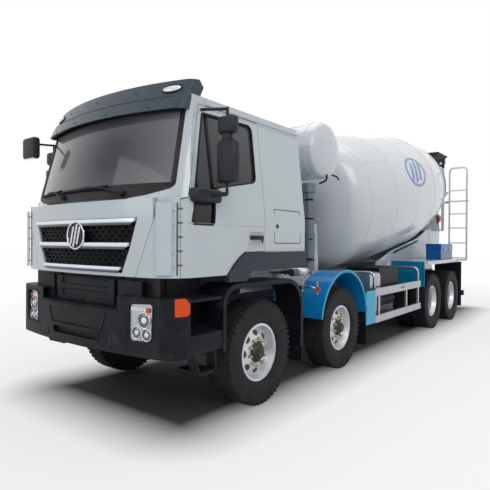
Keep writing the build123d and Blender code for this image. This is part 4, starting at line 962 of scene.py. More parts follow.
def lugs(x0, x1, r0, r1, count, share, start=0.0, skew=0.0, taper=0.85):
    """Tread blocks round a wheel: count boxes at angle 2 pi i / count + start, each a share of its step wide.

    skew turns the block's x1 side on by an angle, and taper narrows its top."""
    middle = 2 * pi * np.arange(count)[:, None] / count + start
    half = pi / count * share
    x = np.array([x0, x1, x1, x0] * 2)
    lean = np.where(x == x1, skew, 0.0)
    turn = np.array([-1, -1, 1, 1] * 2) * half * np.array([1] * 4 + [taper] * 4) + lean
    r = np.array([r0] * 4 + [r1] * 4)
    angle = middle + turn
    points = np.stack([np.broadcast_to(x, angle.shape), r * np.cos(angle), r * np.sin(angle)], axis=-1)
    quads = np.array([[0, 3, 2, 1], [4, 5, 6, 7], [0, 1, 5, 4], [1, 2, 6, 5], [2, 3, 7, 6], [3, 0, 4, 7]])
    faces = (quads[None] + 8 * np.arange(count)[:, None, None]).reshape(-1, 4).tolist()
    return points.reshape(-1, 3), faces


def tyre(drive):
    """One tyre about the x axis: a carcass with ribbed sidewalls, its grooves, and blocks round the tread."""
    half, top, bead = TYRE_W / 2, TYRE_R, 0.2865
    wall = bent([(half - 0.048, bead), (half - 0.044, bead + 0.017), (half - 0.022, bead + 0.030),
                 (half - 0.006, bead + 0.062), (half, bead + 0.122), (half - 0.003, top - 0.075),
                 (half - 0.010, top - 0.034), (half - 0.022, top - 0.012)], 6)
    r = wall[:, 1]
    rib = 0.0022
    ribs = sum(rib * np.exp(-((r - (bead + at)) / rib) ** 2) for at in (0.040, 0.050, 0.098, 0.150, 0.166))
    wall[:, 0] = np.minimum(wall[:, 0] + ribs, half)
    floor = [(half - 0.036, top - 0.011)]
    if not drive:
        for middle in (0.088, 0.046, 0.0, -0.046, -0.088):
            floor += [(middle + 0.017, top - 0.002), (middle + 0.015, top), (middle - 0.015, top),
                      (middle - 0.017, top - 0.002)]
            if middle > -0.08:
                floor += [(middle - 0.019, top - 0.012), (middle - 0.024, top - 0.012)]
    profile = np.vstack([wall, floor, (floor[0][0] * -1, floor[0][1]), wall[::-1] * (-1, 1)])
    inner = [(-half + 0.060, bead + 0.002), (-half + 0.070, bead + 0.05), (half - 0.070, bead + 0.05),
             (half - 0.060, bead + 0.002)]
    points = turned(np.vstack([profile, inner]), (0, 0, 0), "x", 96)[0]
    rows = len(profile) + len(inner)
    parts = [(points, grid_faces(rows, 96, close_rows=True, close_columns=True))]
    for s in (-1, 1):
        low, high = top - 0.060, top - (0.001 if drive else 0.003)
        parts.append(lugs(s * (half - 0.050), s * (half - 0.006), low, high, 52, 0.66, s * 0.03, s * 0.018,
                          0.9))
    if drive:
        for row, x in enumerate((-0.074, -0.028, 0.018, 0.064)):
            parts.append(lugs(x - 0.017, x + 0.027, top - 0.030, top, 52, 0.74, row * 0.06,
                              0.03 * (-1) ** row, 0.92))
    else:
        for x in (-0.067, 0.067):
            parts.append(lugs(x - 0.003, x + 0.003, top - 0.02, top - 0.004, 104, 0.4))
    return joined(*parts)


def wheel_fittings(disc_x, ring_r, hub_x, hub_r):
    """Nuts with their studs on the disc, and the black hub cap with its rim of bolts."""
    def ring(count, radius, start):
        angle = 2 * pi * np.arange(count) / count + start
        return np.stack([np.zeros(count), radius * np.cos(angle), radius * np.sin(angle)], axis=1)
    nut = joined(stud((disc_x, 0, 0), "x", 0.0195, 0.004, 20),
                 stud((disc_x + 0.004, 0, 0), "x", 0.0165, 0.024),
                 stud((disc_x + 0.028, 0, 0), "x", 0.0105, 0.014, 10))
    cap = turned(bent([(hub_x, hub_r), (hub_x + 0.006, hub_r), (hub_x + 0.014, hub_r * 0.93),
                       (hub_x + 0.018, hub_r * 0.6), (hub_x + 0.019, 0.0)], 4), (0, 0, 0), "x", 40)
    bolts = copies(stud((hub_x + 0.014, 0, 0), "x", 0.006, 0.006), ring(6, hub_r * 0.75, 0.0))
    return copies(nut, ring(10, ring_r, 0.2)), joined(cap, bolts)


def shaded_hand_holes(outer):
    """Dark discs for the mouths of the eight holes round a front wheel's cone, painted shade in place of the
    holes, x = outer + 0.083 - 0.461 (r - 0.15).
    """
    middle = 0.198
    parts = []
    for turn in 2 * pi * np.arange(8) / 8:
        def lay(a, b, out, turn=turn):
            r, t = middle + b, turn + a / middle
            return np.stack([outer + 0.083 - 0.461 * (r - 0.15) + out, r * np.sin(t), r * np.cos(t)], axis=-1)
        parts.append(plate(lay, disc(0, 0, 0.041, 0.029, 28), 0.0012, 0.002, 0.001))
    return joined(*parts)


TWIN_GAP, HUB_R = 0.036, 0.060


def add_wheels():
    """Every tyre with its tread, and the nuts and hub caps, turned about their own axles."""
    for (axle, side), (low, high) in WHEELS.items():
        on_left = side == "left"
        centre = np.array([0, (low.y + high.y) / 2, (low.z + high.z) / 2])
        outer = (high.x if on_left else -low.x) - TYRE_W / 2
        drive = axle > 2
        middles = (outer, outer - TYRE_W - TWIN_GAP) if drive else (outer,)
        disc_x, ring_r, hub_x = (-0.152, 0.131, 0.034) if drive else (0.083, 0.137, 0.128)
        nuts, cap = wheel_fittings(outer + disc_x, ring_r, outer + hub_x, HUB_R)
        if not drive:
            hub = turned([(0.0835, 0.0), (0.0835, 0.113), (0.0880, 0.110), (0.0885, 0.0880), (0.106, 0.0818),
                          (0.1290, 0.0640), (0.1290, 0.0)], (outer, 0, 0), "x", 48)
            # The hand holes are dark discs on the cone: painted shade in place of real holes
            cap = joined(cap, hub, shaded_hand_holes(outer))
        tread = copies(tyre(drive), [(x, 0, 0) for x in middles])
        for name, part, finish, slot in (("tread", tread, "tyre", "tyre"),
                                         ("wheel_nuts", nuts, "wheel_nut", "wheel_silver"),
                                         ("hub_cap", cap, "hub_black", "cast")):
            points, faces = part if on_left else mirrored(part)
            piece = make(f"{name}_{axle}_{side}", (points + centre, faces), f"wheel_{axle}_{side}", finish,
                         slot, smooth=name != "wheel_nuts")
            if name == "tread":
                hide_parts(f"tyre_{axle}_{side}")


# ---------------------------------------------------------------- cab
def add_windscreen():
    """Rubber round the glass, the black band below it, and two wipers on their spindles."""
    pane = dense(eased(np.array(SCREEN_CORNERS) / MM, 0.055, 6), 0.06)
    rubber = rim(on_cab, grown(pane, 0.010), grown(pane, -0.046), 0.004, 0.009, 0.003, -0.004)
    make("windscreen_rubber", rubber, "cab", "seal_black", "black_plastic")
    half, rows, columns = 1.06, 7, 65
    across = np.linspace(-1, 1, columns)
    foot = np.interp(np.abs(across) * half, [0, 0.62, 0.84, 1.06], [2.074, 2.074, 2.100, 2.150])
    x = np.broadcast_to(across * half, (rows, columns))
    z = foot + np.linspace(0, 1, rows)[:, None] * (2.170 - foot)
    face, back = on_cab(x, z, np.full(x.shape, 0.006)), on_cab(x, z, np.full(x.shape, -0.004))
    make("cowl_band", shell_of(face, back), "cab", "seal_black", "black_plastic")
    spindle_z, blade_z = 2.125, 2.196
    parts = []
    for pivot, tip, heel in ((0.60, -0.36, 0.40), (-0.28, -0.93, -0.36)):
        hub = on_cab(np.array([pivot]), np.array([spindle_z]), np.array([0.0]))[0]
        points, faces = turned([(-0.05, 0.0), (-0.05, 0.026), (-0.01, 0.026), (0.0, 0.018), (0.0, 0.0)],
                               (0, 0, 0), "y", 16)
        parts.append((points + hub + (0, 0.01, 0), faces))
        s = np.linspace(0, 1, 14)
        z = spindle_z + 0.085 * np.sin(pi * np.minimum(s * 1.25, 1) / 2) - 0.015 * s
        arm = on_cab(np.linspace(pivot, (heel + tip) / 2, 14), z, 0.040 - 0.012 * s)
        parts.append(carried(arm, rounded(0.022, 0.014, 0.005, 3)))
        s = np.linspace(-1, 1, 24)
        x, z = np.linspace(heel, tip, 24), blade_z - 0.022 * (s + 1) / 2 + 0.004 * s ** 2
        parts.append(carried(on_cab(x, z, 0.010), rounded(0.014, 0.020, 0.004, 3)))
        parts.append(carried(on_cab(x, z, 0.022 + 0.010 * (1 - s ** 2)), rounded(0.016, 0.008, 0.003, 3)))
    make("wipers", joined(*parts), "cab", "seal_black", "black_plastic")


def shell_of(front, back):
    """A closed sheet out of two grids of points: the front, the back and the rim between their edges."""
    rows, columns = front.shape[:2]
    n = rows * columns
    edge = np.concatenate([np.arange(columns), np.arange(1, rows) * columns + columns - 1,
                           (rows - 1) * columns + np.arange(columns - 2, -1, -1),
                           np.arange(rows - 2, 0, -1) * columns])
    after = np.roll(edge, -1)
    faces = grid_faces(rows, columns) + [f[::-1] for f in grid_faces(rows, columns, start=n)]
    faces += np.stack([edge, edge + n, after + n, after], axis=1).tolist()
    return np.concatenate([front.reshape(-1, 3), back.reshape(-1, 3)]), faces


def pull_handle():
    """The door's handle: a bar that stands 0.034 (1 - s^4) + 0.002 off the skin, s from -1 to 1 along it."""
    s = np.linspace(-1, 1, 17)
    path = on_side(-0.150 + 0.105 * s, np.full(17, 1.735), 0.034 * (1 - np.abs(s) ** 4) + 0.002)
    return carried(path, rounded(0.020, 0.042, 0.008, 3))


def add_doors():
    """What each door carries: the window's rubber and front bar, the belt line, the handle's well and lock."""
    window = dense(eased(np.array(WINDOW_CORNERS) / MM, 0.035, 5), 0.06)
    rubber = rim(on_side, grown(window, 0.013), grown(window, -0.020), 0.006, 0.020, 0.003, -0.004)
    post = strip(on_side, np.linspace(-0.772, -0.80, 8), np.linspace(2.17, 2.84, 8), 0.030, -0.006, 0.022)
    belt = strip(on_side, np.linspace(-1.13, -0.03, 30), np.full(30, 1.850), 0.010, 0.0025)
    frame_of_well = rim(on_side, box_outline(-0.290, -0.010, 1.640, 1.800, 0.03),
                        box_outline(-0.276, -0.024, 1.654, 1.786, 0.025), 0.004, 0.003)
    well = plate(on_side, box_outline(-0.274, -0.026, 1.656, 1.784, 0.025), 0.0015)
    lock = plate(on_side, disc(-0.055, 1.70, 0.013), 0.009)
    pieces = (("window_rubber", joined(rubber, post), "seal_black", "black_plastic"),
              ("door_belt", joined(belt, frame_of_well), "cab_white", "cab_white"),
              # The handle's well is painted shade, darker than the cab's white
              ("handle_well", well, "shade_white", "cab_white"),
              ("door_handle", joined(pull_handle(), lock), "seal_black", "black_plastic"))
    for side, sided in SIDES:
        for name, part, finish, slot in pieces:
            make(f"{name}_{side}", sided(part), f"door_{side}", finish, slot)


def add_cab_sides():
    """The cab's sides: the hatch behind the door with its catch, the roof rail and the seam below it."""
    hatch = rim(on_side, box_outline(0.165, 0.705, 1.675, 2.045, 0.03),
                box_outline(0.175, 0.695, 1.685, 2.035, 0.026), 0.0022, 0.002, 0.0005)
    y = np.linspace(-0.80, 0.79, 24)
    rail = carried(on_side(y, np.full(24, 2.955), 0.004), rounded(0.020, 0.030, 0.007, 3))
    seam = strip(on_side, y, np.full(24, 2.915), 0.012, 0.003)
    # The hatch's outline is drawn as a painted shadow line
    make("side_hatch_seams", both(hatch), "cab", "seam_shadow_grey", "black_plastic")
    make("roof_rails", both(joined(rail, seam)), "cab", "cab_white", "cab_white")
    make("hatch_catches", both(plate(on_side, box_outline(0.205, 0.245, 1.84, 1.88, 0.008), 0.006)), "cab",
         "seal_black", "black_plastic")


def add_visor():
    """Seam line, bolts and two oval marker lamps of the visor."""
    bolts = [plate(on_visor, disc(x, 3.085, 0.010, sides=10), 0.004) for x in (-0.62, -0.06, 0.50)]
    bolts += [plate(on_visor, disc(x, 2.905, 0.009, sides=10), 0.004) for x in (-0.80, -0.30, 0.22, 0.74)]
    seam = strip(on_visor, np.linspace(-0.98, 0.98, 60), np.full(60, 2.990), 0.006, 0.0015)
    make("visor_bolts", joined(*bolts, seam), "cab", "seal_black", "black_plastic")
    at = 0.905, 3.075
    lamp = both(plate(on_visor, disc(*at, 0.090, 0.030, 28), 0.012, dome=0.010, rings=4))
    ring = both(rim(on_visor, disc(*at, 0.100, 0.040, 28), disc(*at, 0.088, 0.028, 28), 0.010))
    make("marker_lamps", lamp, "cab", "lamp_clear", "lamp_glass")
    make("marker_lamp_rims", ring, "cab", "seal_black", "black_plastic")


def add_mirrors():
    """Mirror panes in the backs of the housings, and the one in the front mirror's underside."""
    behind = flat(place(0, MIRROR_Y / MM + 0.048, 0), (-1, 0, 0), (0, 0, 1))
    panes = joined(*[plate(behind, box_outline(-x1, -x0, z0, z1, 0.03), 0.002, dome=0.004)
                     for x0, x1, z0, z1 in ((1.335, 1.495, 2.225, 2.555), (1.335, 1.475, 2.652, 2.768))])
    for side, sided in SIDES:
        make(f"mirror_panes_{side}", sided(panes), f"door_{side}", "mirror_glass", "lamp_glass")
    x, y, z = (v / MM for v in FRONT_MIRROR)
    below = flat(place(x, y, z - 0.120), (1, 0, 0), (0, -1, 0))
    make("front_mirror_pane", plate(below, box_outline(-0.10, 0.10, -0.034, 0.034, 0.02), 0.002), "cab",
         "mirror_glass", "lamp_glass")


def add_emblem():
    """A plain ring with three slanted bars in the middle of the grille, where a maker's sign would be."""
    centre = on_cab(np.array([0.0]), np.array([1.745]), np.array([0.0]))[0] + (0, -0.024, 0)
    t = np.linspace(0, 2 * pi, 64, endpoint=False)
    ring = np.stack([0.138 * np.cos(t), np.zeros(64), 0.128 * np.sin(t)], axis=1) + centre
    hoop = carried(ring, rounded(0.020, 0.016, 0.005, 3), closed=True)
    face = flat(centre, (1, 0, 0), (0, 0, 1))
    back = plate(face, disc(0, 0, 0.130, 0.120, 48), 0.002, 0.012)
    bars = []
    for at in (-0.052, 0.0, 0.052):
        high = sqrt(0.112 ** 2 - (abs(at) + 0.02) ** 2)
        slant = 0.3 * high
        bars.append(plate(face, eased([(at - 0.012 - slant, -high), (at + 0.012 - slant, -high),
                                       (at + 0.012 + slant, high), (at - 0.012 + slant, high)], 0.005), 0.010,
                          edge=0.004))
    make("grille_ring", hoop, "front_flap", "bright_chrome", "steel")
    make("grille_ring_back", back, "front_flap", "seal_black", "black_plastic")
    make("grille_ring_bars", joined(*bars), "front_flap", "bright_chrome", "steel")


# ---------------------------------------------------------------- bumper, steps and mudguards
PLATE_RECESS = [(-400, 885), (400, 885), (460, 1040), (-460, 1040)]
AIR_SLOT = [(-360, 785), (360, 785), (372, 850), (-372, 850)]


def lamp_outline(side, gap):
    """The headlamp's face, seen from the front."""
    inner, low_outer, high_outer = side * (744 + gap), side * (1010 - gap), side * (1025 - gap)
    return eased([(inner, 820 + gap), (low_outer, 835 + gap), (high_outer, 1166 - gap), (inner, 1150 - gap)],
                 45, 4)


def on_skin(x, z, out):
    """The bumper's face, set back so that its ribs end at the frame's own front."""
    return on_bumper(x, z, out - 0.0075)


def slanted(part, angle):
    """A small solid turned about the upright line through its own middle."""
    points, faces = part
    middle = points.mean(0)
    c, s = cos(radians(angle)), sin(radians(angle))
    return (points - middle) @ np.array([[c, s, 0], [-s, c, 0], [0, 0, 1]]) + middle, faces


def foothold(spots_on_plate, half):
    """The raised pattern of a tread plate: small bars on (x, y, z), turned 45 degrees either way by turns."""
    bars = [brick(x - half, x + half, y - 3, y + 3, z, z + 5) for x, y, z in spots_on_plate]
    return joined(*[slanted(part, 45 if i % 2 else -45) for i, part in enumerate(bars)])


def add_bumper():
    """Bumper shell with its tread, plate recess, air slot and lamp pockets, and the panel up to the cab."""
    outer, inner = plan(1245, -1442.5, 130, 200, -1130), plan(1200, -1390, 130, 160, -1120)
    recesses = [prism(PLATE_RECESS, "y", -1500, -1428), prism(eased(AIR_SLOT, 18), "y", -1500, -1398)]
    recesses += [prism(lamp_outline(s, 0), "y", -1500, -1220) for s in (-1, 1)]
    shell = less(prism(outer, "z", 700, 1210), prism(inner, "z", 690, 1180),
                 brick(-1000, 1000, -1290, -1060, 1170, 1220), brick(-620, 620, -1470, -1280, 1100, 1220),
                 *recesses)
    tread = within(prism(outer, "z", 1075, 1100), brick(-640, 640, -1450, -1305, 1000, 1200))
    walls = [brick(s * 630 - 10, s * 630 + 10, -1395, -1305, 1080, 1200) for s in (-1, 1)]
    hinge_slots = [brick(s * 504 - 26, s * 504 + 26, -1362, -1060, 1105, 1355) for s in (-1, 1)]
    panel = fused(brick(-625, 625, -1335, -1305, 1080, 1345), brick(-860, 860, -1335, -1305, 1185, 1345))
    panel = less(panel, brick(-375, 375, -1345, -1321, 1150, 1212), brick(-375, 375, -1345, -1321, 1262, 1328),
                 *hinge_slots)
    behind = [brick(x0, x1, -1258, -1240, 1150, 1370) for x0, x1 in ((-470, 470), (540, 1000), (-1000, -540))]
    make_solid("radiator_face", joined(*behind), "chassis", "frame_black", "black_plastic")
    make_solid("bumper_shell", shell, "chassis", "black_plastic", "black_plastic", ("front_bumper",), 0.008)
    make_solid("bumper_tread", joined(tread, *walls), "chassis", "black_plastic", "black_plastic", edge=0.004)
    make_solid("bumper_panel", panel, "chassis", "black_plastic", "black_plastic", edge=0.006)
    ribs = []
    for corners, cut, wide in ((PLATE_RECESS, 0.02, 0.020), (AIR_SLOT, 0.018, 0.016)):
        mouth = dense(eased(np.array(corners) / MM, cut), 0.08)
        ribs.append(rim(on_skin, grown(mouth, wide), mouth, 0.007, 0.01, 0.003))
    seams = [strip(on_skin, np.full(20, s * x), np.linspace(0.71, 1.20, 20), 0.005, 0.0012)
             for s in (-1, 1) for x in (0.660, 1.085)]
    seams.append(strip(on_skin, np.linspace(-0.64, 0.64, 40), np.full(40, 1.058), 0.005, 0.0012))
    make("bumper_ribs", joined(*ribs), "chassis", "black_plastic", "black_plastic")
    make("bumper_seams", joined(*seams), "chassis", "seal_black", "black_plastic")
    covers = []
    for x, z in ((-0.52, 0.775), (0.52, 0.775)):
        covers += [rim(on_skin, disc(x, z, 0.040, sides=24), disc(x, z, 0.030, sides=24), 0.004),
                   plate(on_skin, disc(x, z, 0.029, sides=24), 0.001)]
    panel_face = flat(place(0, -1.335, 0), (1, 0, 0), (0, 0, 1))
    covers += [rim(panel_face, disc(x, 1.150, 0.026), disc(x, 1.150, 0.016), 0.006) for x in (-0.565, 0.565)]
    make("tow_eye_covers", joined(*covers), "chassis", "seal_black", "black_plastic")
    pattern = foothold([(x, y, 1100) for x in range(-590, 600, 40) for y in range(-1420, -1320, 20)
                        if y > -1436 + 130 * (x / 1245) ** 2], 16)
    make_solid("tread_pattern", pattern, "chassis", "black_plastic", "black_plastic")


def add_headlamps():
    """Silver housings with a row of small lamps, an amber bulb, a main lamp and two small ones."""
    housing = []
    for s in (-1, 1):
        front = prism(lamp_outline(s, 0.3), "y", -1440, -1230)
        housing.append(within(front, prism(plan(1215, -1418, 130, 180, -1140), "z", 700, 1210)))
    make_solid("headlamp_housings", joined(*housing), "chassis", "lamp_silver", "lamp_glass", ("lamps",), 0.003)

    def lay(x, z, out):
        return spots(x, bowed(x, 1.215 + out, -1.418 - out, BUMPER_BOW, 0.18), z)
    rings, bowls, bulbs, row = [], [], [], []
    for x, z, r in ((0.915, 1.015, 0.062), (0.835, 0.905, 0.048), (0.945, 0.893, 0.048)):
        rings.append(rim(lay, disc(x, z, r + 0.010, sides=32), disc(x, z, r, sides=32), 0.012, 0.002, 0.003))
        bowls.append(plate(lay, disc(x, z, r, sides=32), 0.001, dome=0.008, rings=6))
        bulbs.append(plate(lay, disc(x, z, r * 0.45, sides=24), 0.011, dome=0.006, rings=4))
    for i in range(6):
        x = 0.775 + i * 0.028
        corners = [(x, 1.090), (x + 0.020, 1.090), (x + 0.014, 1.125), (x - 0.006, 1.125)]
        row.append(plate(lay, eased(corners, 0.003), 0.008, edge=0.003))
    turn_lamp = plate(lay, disc(0.962, 1.103, 0.021, sides=24), 0.012, dome=0.006, rings=4)
    outline = dense(lamp_outline(1, 0) / MM, 0.05)
    surround = rim(on_skin, grown(outline, 0.014), grown(outline, -0.006), 0.006, 0.014, 0.003, -0.008)
    for name, part, finish, slot in (("lamp_rings", joined(*rings), "bright_chrome", "lamp_glass"),
                                     ("lamp_bowls", joined(*bowls), "lamp_bowl", "lamp_glass"),
                                     ("lamp_bulbs", joined(*bulbs), "lamp_clear", "lamp_glass"),
                                     ("lamp_rows", joined(*row), "lamp_clear", "lamp_glass"),
                                     ("turn_lamps", turn_lamp, "amber", "lamp_glass"),
                                     ("lamp_surrounds", surround, "seal_black", "black_plastic")):
        make(name, both(part), "chassis", finish, slot)
    corner = less(prism(plan(1249, -1448, 130, 203, -1130), "z", 1062, 1212),
                  prism(plan(1225, -1430, 130, 180, -1120), "z", 1050, 1205))
    ends = [(-1272, 1062), (-1160, 1055), (-1131, 1090), (-1131, 1160), (-1180, 1213), (-1300, 1213)]
    corner = within(corner, prism(ends, "x", 1208, 1260))
    make_solid("side_turn_lamps", both(corner), "chassis", "amber", "lamp_glass", edge=0.004)


def guard_band(wall, x0, x1):
    """The first mudguard as a bent band: up behind the steps, over the wheel and down."""
    def loop(inset):
        front, rear, top = -690 + inset, 738 - inset, 1292 - inset
        t = np.linspace(0, pi / 2, 9)
        a, b = 200 - inset, 330 - inset
        head = np.stack([front + a - a * np.cos(t), top - a + a * np.sin(t)], axis=1)
        tail = np.stack([rear - b + b * np.sin(t), top - b + b * np.cos(t)], axis=1)
        return np.vstack([[(front, 400)], head, tail, [(rear, 400)]])
    band = prism(np.vstack([loop(0), loop(wall)[::-1]]), "x", x0, x1)
    return less(band, brick(x0 - 5, x1 + 5, -700, 0, 300, 680), brick(x0 - 5, x1 + 5, 0, 745, 300, 500))


def add_steps():
    """Black plastics: the steps below the doors, the mudguards of the first axle and the flaps."""
    front, rear = -1129.7, -690
    body = [brick(930, 952, front, rear, 712, 1362), brick(930, 1236, front, rear, 712, 880),
            brick(930, 1228, front, rear, 1165, 1190), brick(930, 1236, front, front + 22, 870, 1190),
            brick(930, 1224, front + 150, rear - 70, 504, 540)]
    for foot, head in ((front + 150, front + 70), (rear - 92, rear - 92)):
        body.append(prism([(foot, 504), (foot + 22, 504), (head + 22, 717), (head, 717)], "x", 1120, 1224))
    guard = joined(guard_band(22, 880, 1240), guard_band(50, 1222, 1243))
    flap = brick(880, 1240, 717, 735, 320, 560)
    arm = brick(430.3, 900, 706, 736, 945, 985)
    second = brick(860, 1227.7, 2560, 2575, 200, 700)
    rear_flap = joined(brick(640, 1240, 7940, 7955, 230, 1262), brick(430.3, 700, 7925, 7945, 930, 990))
    parts = joined(*body, guard, flap, arm, second, rear_flap)
    make_solid("steps_and_guards", both(parts), "chassis", "black_plastic", "black_plastic",
               ("steps_and_mudguards",), 0.005)
    treads = (1190, -1110, -710), (880, -1110, -710), (540, -965, -775)
    pattern = foothold([(x, y, z) for z, y0, y1 in treads for x in range(970, 1215, 34)
                        for y in range(y0, y1, 30)], 13)
    make_solid("step_pattern", both(pattern), "chassis", "black_plastic", "black_plastic")


# ---------------------------------------------------------------- body: tank, drum, stand, fenders, guards
def revolved(profile, origin, axis, across, segments=96):
    """(along, radius) about a slanted axis: p = origin + a * axis + r * (cos t * across + sin t * third).

    third is axis x across."""
    points, faces = turned(profile, (0, 0, 0), "z", segments)
    axis, across = np.asarray(axis, float), np.asarray(across, float)
    third = np.cross(axis, across)
    return points[:, 2:] * axis + points[:, :1] * across + points[:, 1:2] * third + np.asarray(origin), faces


MARK_ANGLE, MARK_ALONG = 0.34, 2.35
SHEET = 8       # the drum's sheet, in millimetres


def add_drum():
    """The drum with its dished head, cones, barrel, weld beads and roller ring, and the mark on its flank."""
    head = bent([(0, 0), (0, 300), (2, 550), (62, 870), (170, 1030), (300, 1110)], 6)
    skin = np.vstack([head, [(1150, 1200), (3300, 1200), (4500, 1060), (5240, 830), (5900, 560)]])
    inner = skin[::-1] - (0, SHEET)
    inner = inner[inner[:, 1] > 0]
    inner = inner + (SHEET, 0) * (inner[:, :1] < 400)
    axis, across = (0, cos(DRUM_SLOPE), sin(DRUM_SLOPE)), (1, 0, 0)
    origin = (0, 2750, 2290)
    drum = revolved(np.vstack([skin, inner, [(SHEET, 0)]]), origin, axis, across, 120)
    hoop = revolved([(5255, 780), (5255, 870), (5345, 870), (5345, 760), (5255, 780)], origin, axis, across)
    make_solid("drum_skin", drum, "drum", "drum_white", "drum_white", ("drum_shell",))
    make_solid("drum_ring", hoop, "drum", "steel_ring", "cast")
    angle, proud = np.linspace(0, 2 * pi, 145)[:-1], 0.0005
    beads = []
    for along, width in ((0.300, 0.007), (1.150, 0.006), (2.230, 0.005), (3.300, 0.006), (4.500, 0.006),
                         (5.500, 0.006)):
        path = on_drum(angle, np.full(144, along), np.full(144, proud))
        beads.append(carried(path, circle(width / 2, 6), closed=True))
    for turn, start, end in ((0.55, 0.30, 1.15), (-0.35, 1.15, 2.23), (0.95, 2.23, 3.30), (0.05, 3.30, 4.50),
                             (0.8, 4.5, 5.5)):
        for half_turn in (0, pi):
            path = on_drum(np.full(12, turn + half_turn), np.linspace(start, end, 12), np.full(12, proud))
            beads.append(carried(path, circle(0.0025, 6)))
    make("drum_welds", joined(*beads), "drum", "drum_white", "drum_white")
    for name, side in (("left", lambda angle: angle), ("right", lambda angle: pi - angle)):
        def lay(a, b, out, side=side):
            return on_drum(side(MARK_ANGLE + b / 1.2), MARK_ALONG + a, out)
        parts = [rim(lay, disc(0, 0, 0.50, 0.30, 96), disc(0, 0, 0.42, 0.245, 96), 0.0025, 0.003, 0.001)]
        for at in (-0.20, 0.0, 0.20):
            high = 0.225 * sqrt(1 - (abs(at) / 0.42) ** 2) - 0.02
            slant = 0.45 * high
            parts.append(plate(lay, dense([(at - 0.055 - slant, -high), (at + 0.055 - slant, -high),
                                           (at + 0.055 + slant, high), (at - 0.055 + slant, high)], 0.05),
                               0.0025, edge=0.001))
        make(f"drum_mark_{name}", joined(*parts), "drum", "mark_blue", "fender_blue")


def add_water_tank():
    """Water tank with domed ends on its legs, its straps, drain cock and pipe end."""
    y, z, r, half = 1560, 2900, 370, 1020
    dome = [(half + a, b) for a, b in ((0, r), (40, r - 8), (80, r - 45), (108, 250), (124, 130), (130, 0))]
    tank = turned(np.vstack([bent([(-a, b) for a, b in dome[::-1]], 4), bent(dome, 4)]), (0, y, z), "x", 72)
    legs = [brick(x - 40, x + 40, y - 40, y + 40, 1210, z - 300) for x in (-390, 390)]
    legs += [brick(x - 40, x + 40, y - 260, y + 260, z - 420, z - 340) for x in (-390, 390)]
    make_solid("tank_body", joined(tank, *legs), "chassis", "tank_white", "cab_white", ("water_tank",))
    t = np.linspace(0, 2 * pi, 64, endpoint=False)
    straps, strap_r = [], (r + 2) / MM
    for x, width in ((-0.95, 0.010), (-0.39, 0.040), (0.39, 0.040), (0.95, 0.010)):
        path = spots(np.full(64, x), y / MM + strap_r * np.cos(t), z / MM + strap_r * np.sin(t))
        straps.append(carried(path, rounded(width, 0.006, 0.002, 2), closed=True))
    make("tank_straps", joined(*straps), "chassis", "tank_white", "cab_white")
    pipes = joined(tube([(1.10, 1.56, 2.58), (1.10, 1.56, 2.50), (1.02, 1.50, 2.46)], 0.013),
                   tube([(1.00, 1.90, 2.62), (1.04, 1.98, 2.60), (1.04, 2.02, 2.56)], 0.012))
    make("tank_pipes", pipes, "chassis", "seal_black", "black_plastic")


def arch_band(centre, r_out, r_in, start, end, steps=24):
    """An arch seen from the side: degrees from straight up, positive towards the rear."""
    a = np.radians(np.linspace(start, end, steps))
    rings = [np.stack([centre[0] + r * np.sin(a), centre[1] + r * np.cos(a)], axis=1) for r in (r_out, r_in)]
    return np.vstack([rings[0], rings[1][::-1]])


def add_fenders():
    """Fender of the second axle, the deck over the drive wheels, and the toolbox on the left one."""
    y, z = 1860, 637.5
    arch = prism(arch_band((y, z), 672, 664, -81, 86), "x", 850, 1245)
    lip = prism(arch_band((y, z), 690, 655, -81, 86), "x", 1233, 1245)
    skirt = brick(1228, 1245, 2524, 2860, 490, 980)
    brackets = [brick(430.3, 880, y + dy - 20, y + dy + 20, 950, 990) for dy in (-578, 578)]
    make_solid("axle_fenders", both(joined(arch, *brackets)), "chassis", "azure", "fender_blue",
               ("blue_fenders",), 0.002)
    make_solid("fender_lips", both(joined(lip, skirt)), "chassis", "azure_lip", "fender_blue", edge=0.003)
    top = less(brick(600, 1245, 5200, 7680, 1270, 1340), brick(590, 1237, 5210, 7690, 1260, 1328))
    deck = joined(top, *[brick(552, 700, y - 25, y + 25, 1300, 1328) for y in (5600, 6500, 7400)])
    make_solid("rear_decks", both(deck), "chassis", "deck_white", "fender_blue", edge=0.003)
    panel = brick(600, 1245, 5188, 5200, 860, 1340)
    make_solid("deck_front_panels", both(panel), "chassis", "teal", "fender_blue", edge=0.003)
    box = prism([(6600, 1341), (7500, 1341), (7500, 1600), (7440, 1670), (6600, 1670)], "x", 840, 1150)
    make_solid("toolbox", box, "chassis", "tool_blue", "fender_blue", edge=0.006)
    lid = less(prism([(6594, 1560), (7506, 1560), (7506, 1602), (7442, 1676), (6594, 1676)], "x", 834, 1156),
               prism([(6590, 1550), (7510, 1550), (7510, 1566), (6590, 1566)], "x", 800, 1200))
    make_solid("toolbox_lid", lid, "chassis", "tool_blue", "fender_blue", edge=0.006)
    catches = [brick(1156, 1168, y - 22, y + 22, 1530, 1600) for y in (6850, 7250)]
    make_solid("toolbox_catches", joined(*catches), "chassis", "steel", "steel", edge=0.003)
    markers = [brick(1245, 1253, y - 45, y + 45, 1285, 1325) for y in (5330, 7560)]
    markers.append(brick(1245, 1253, 4000, 4090, 925, 955))
    make_solid("side_markers", both(joined(*markers)), "chassis", "amber", "lamp_glass", edge=0.003)


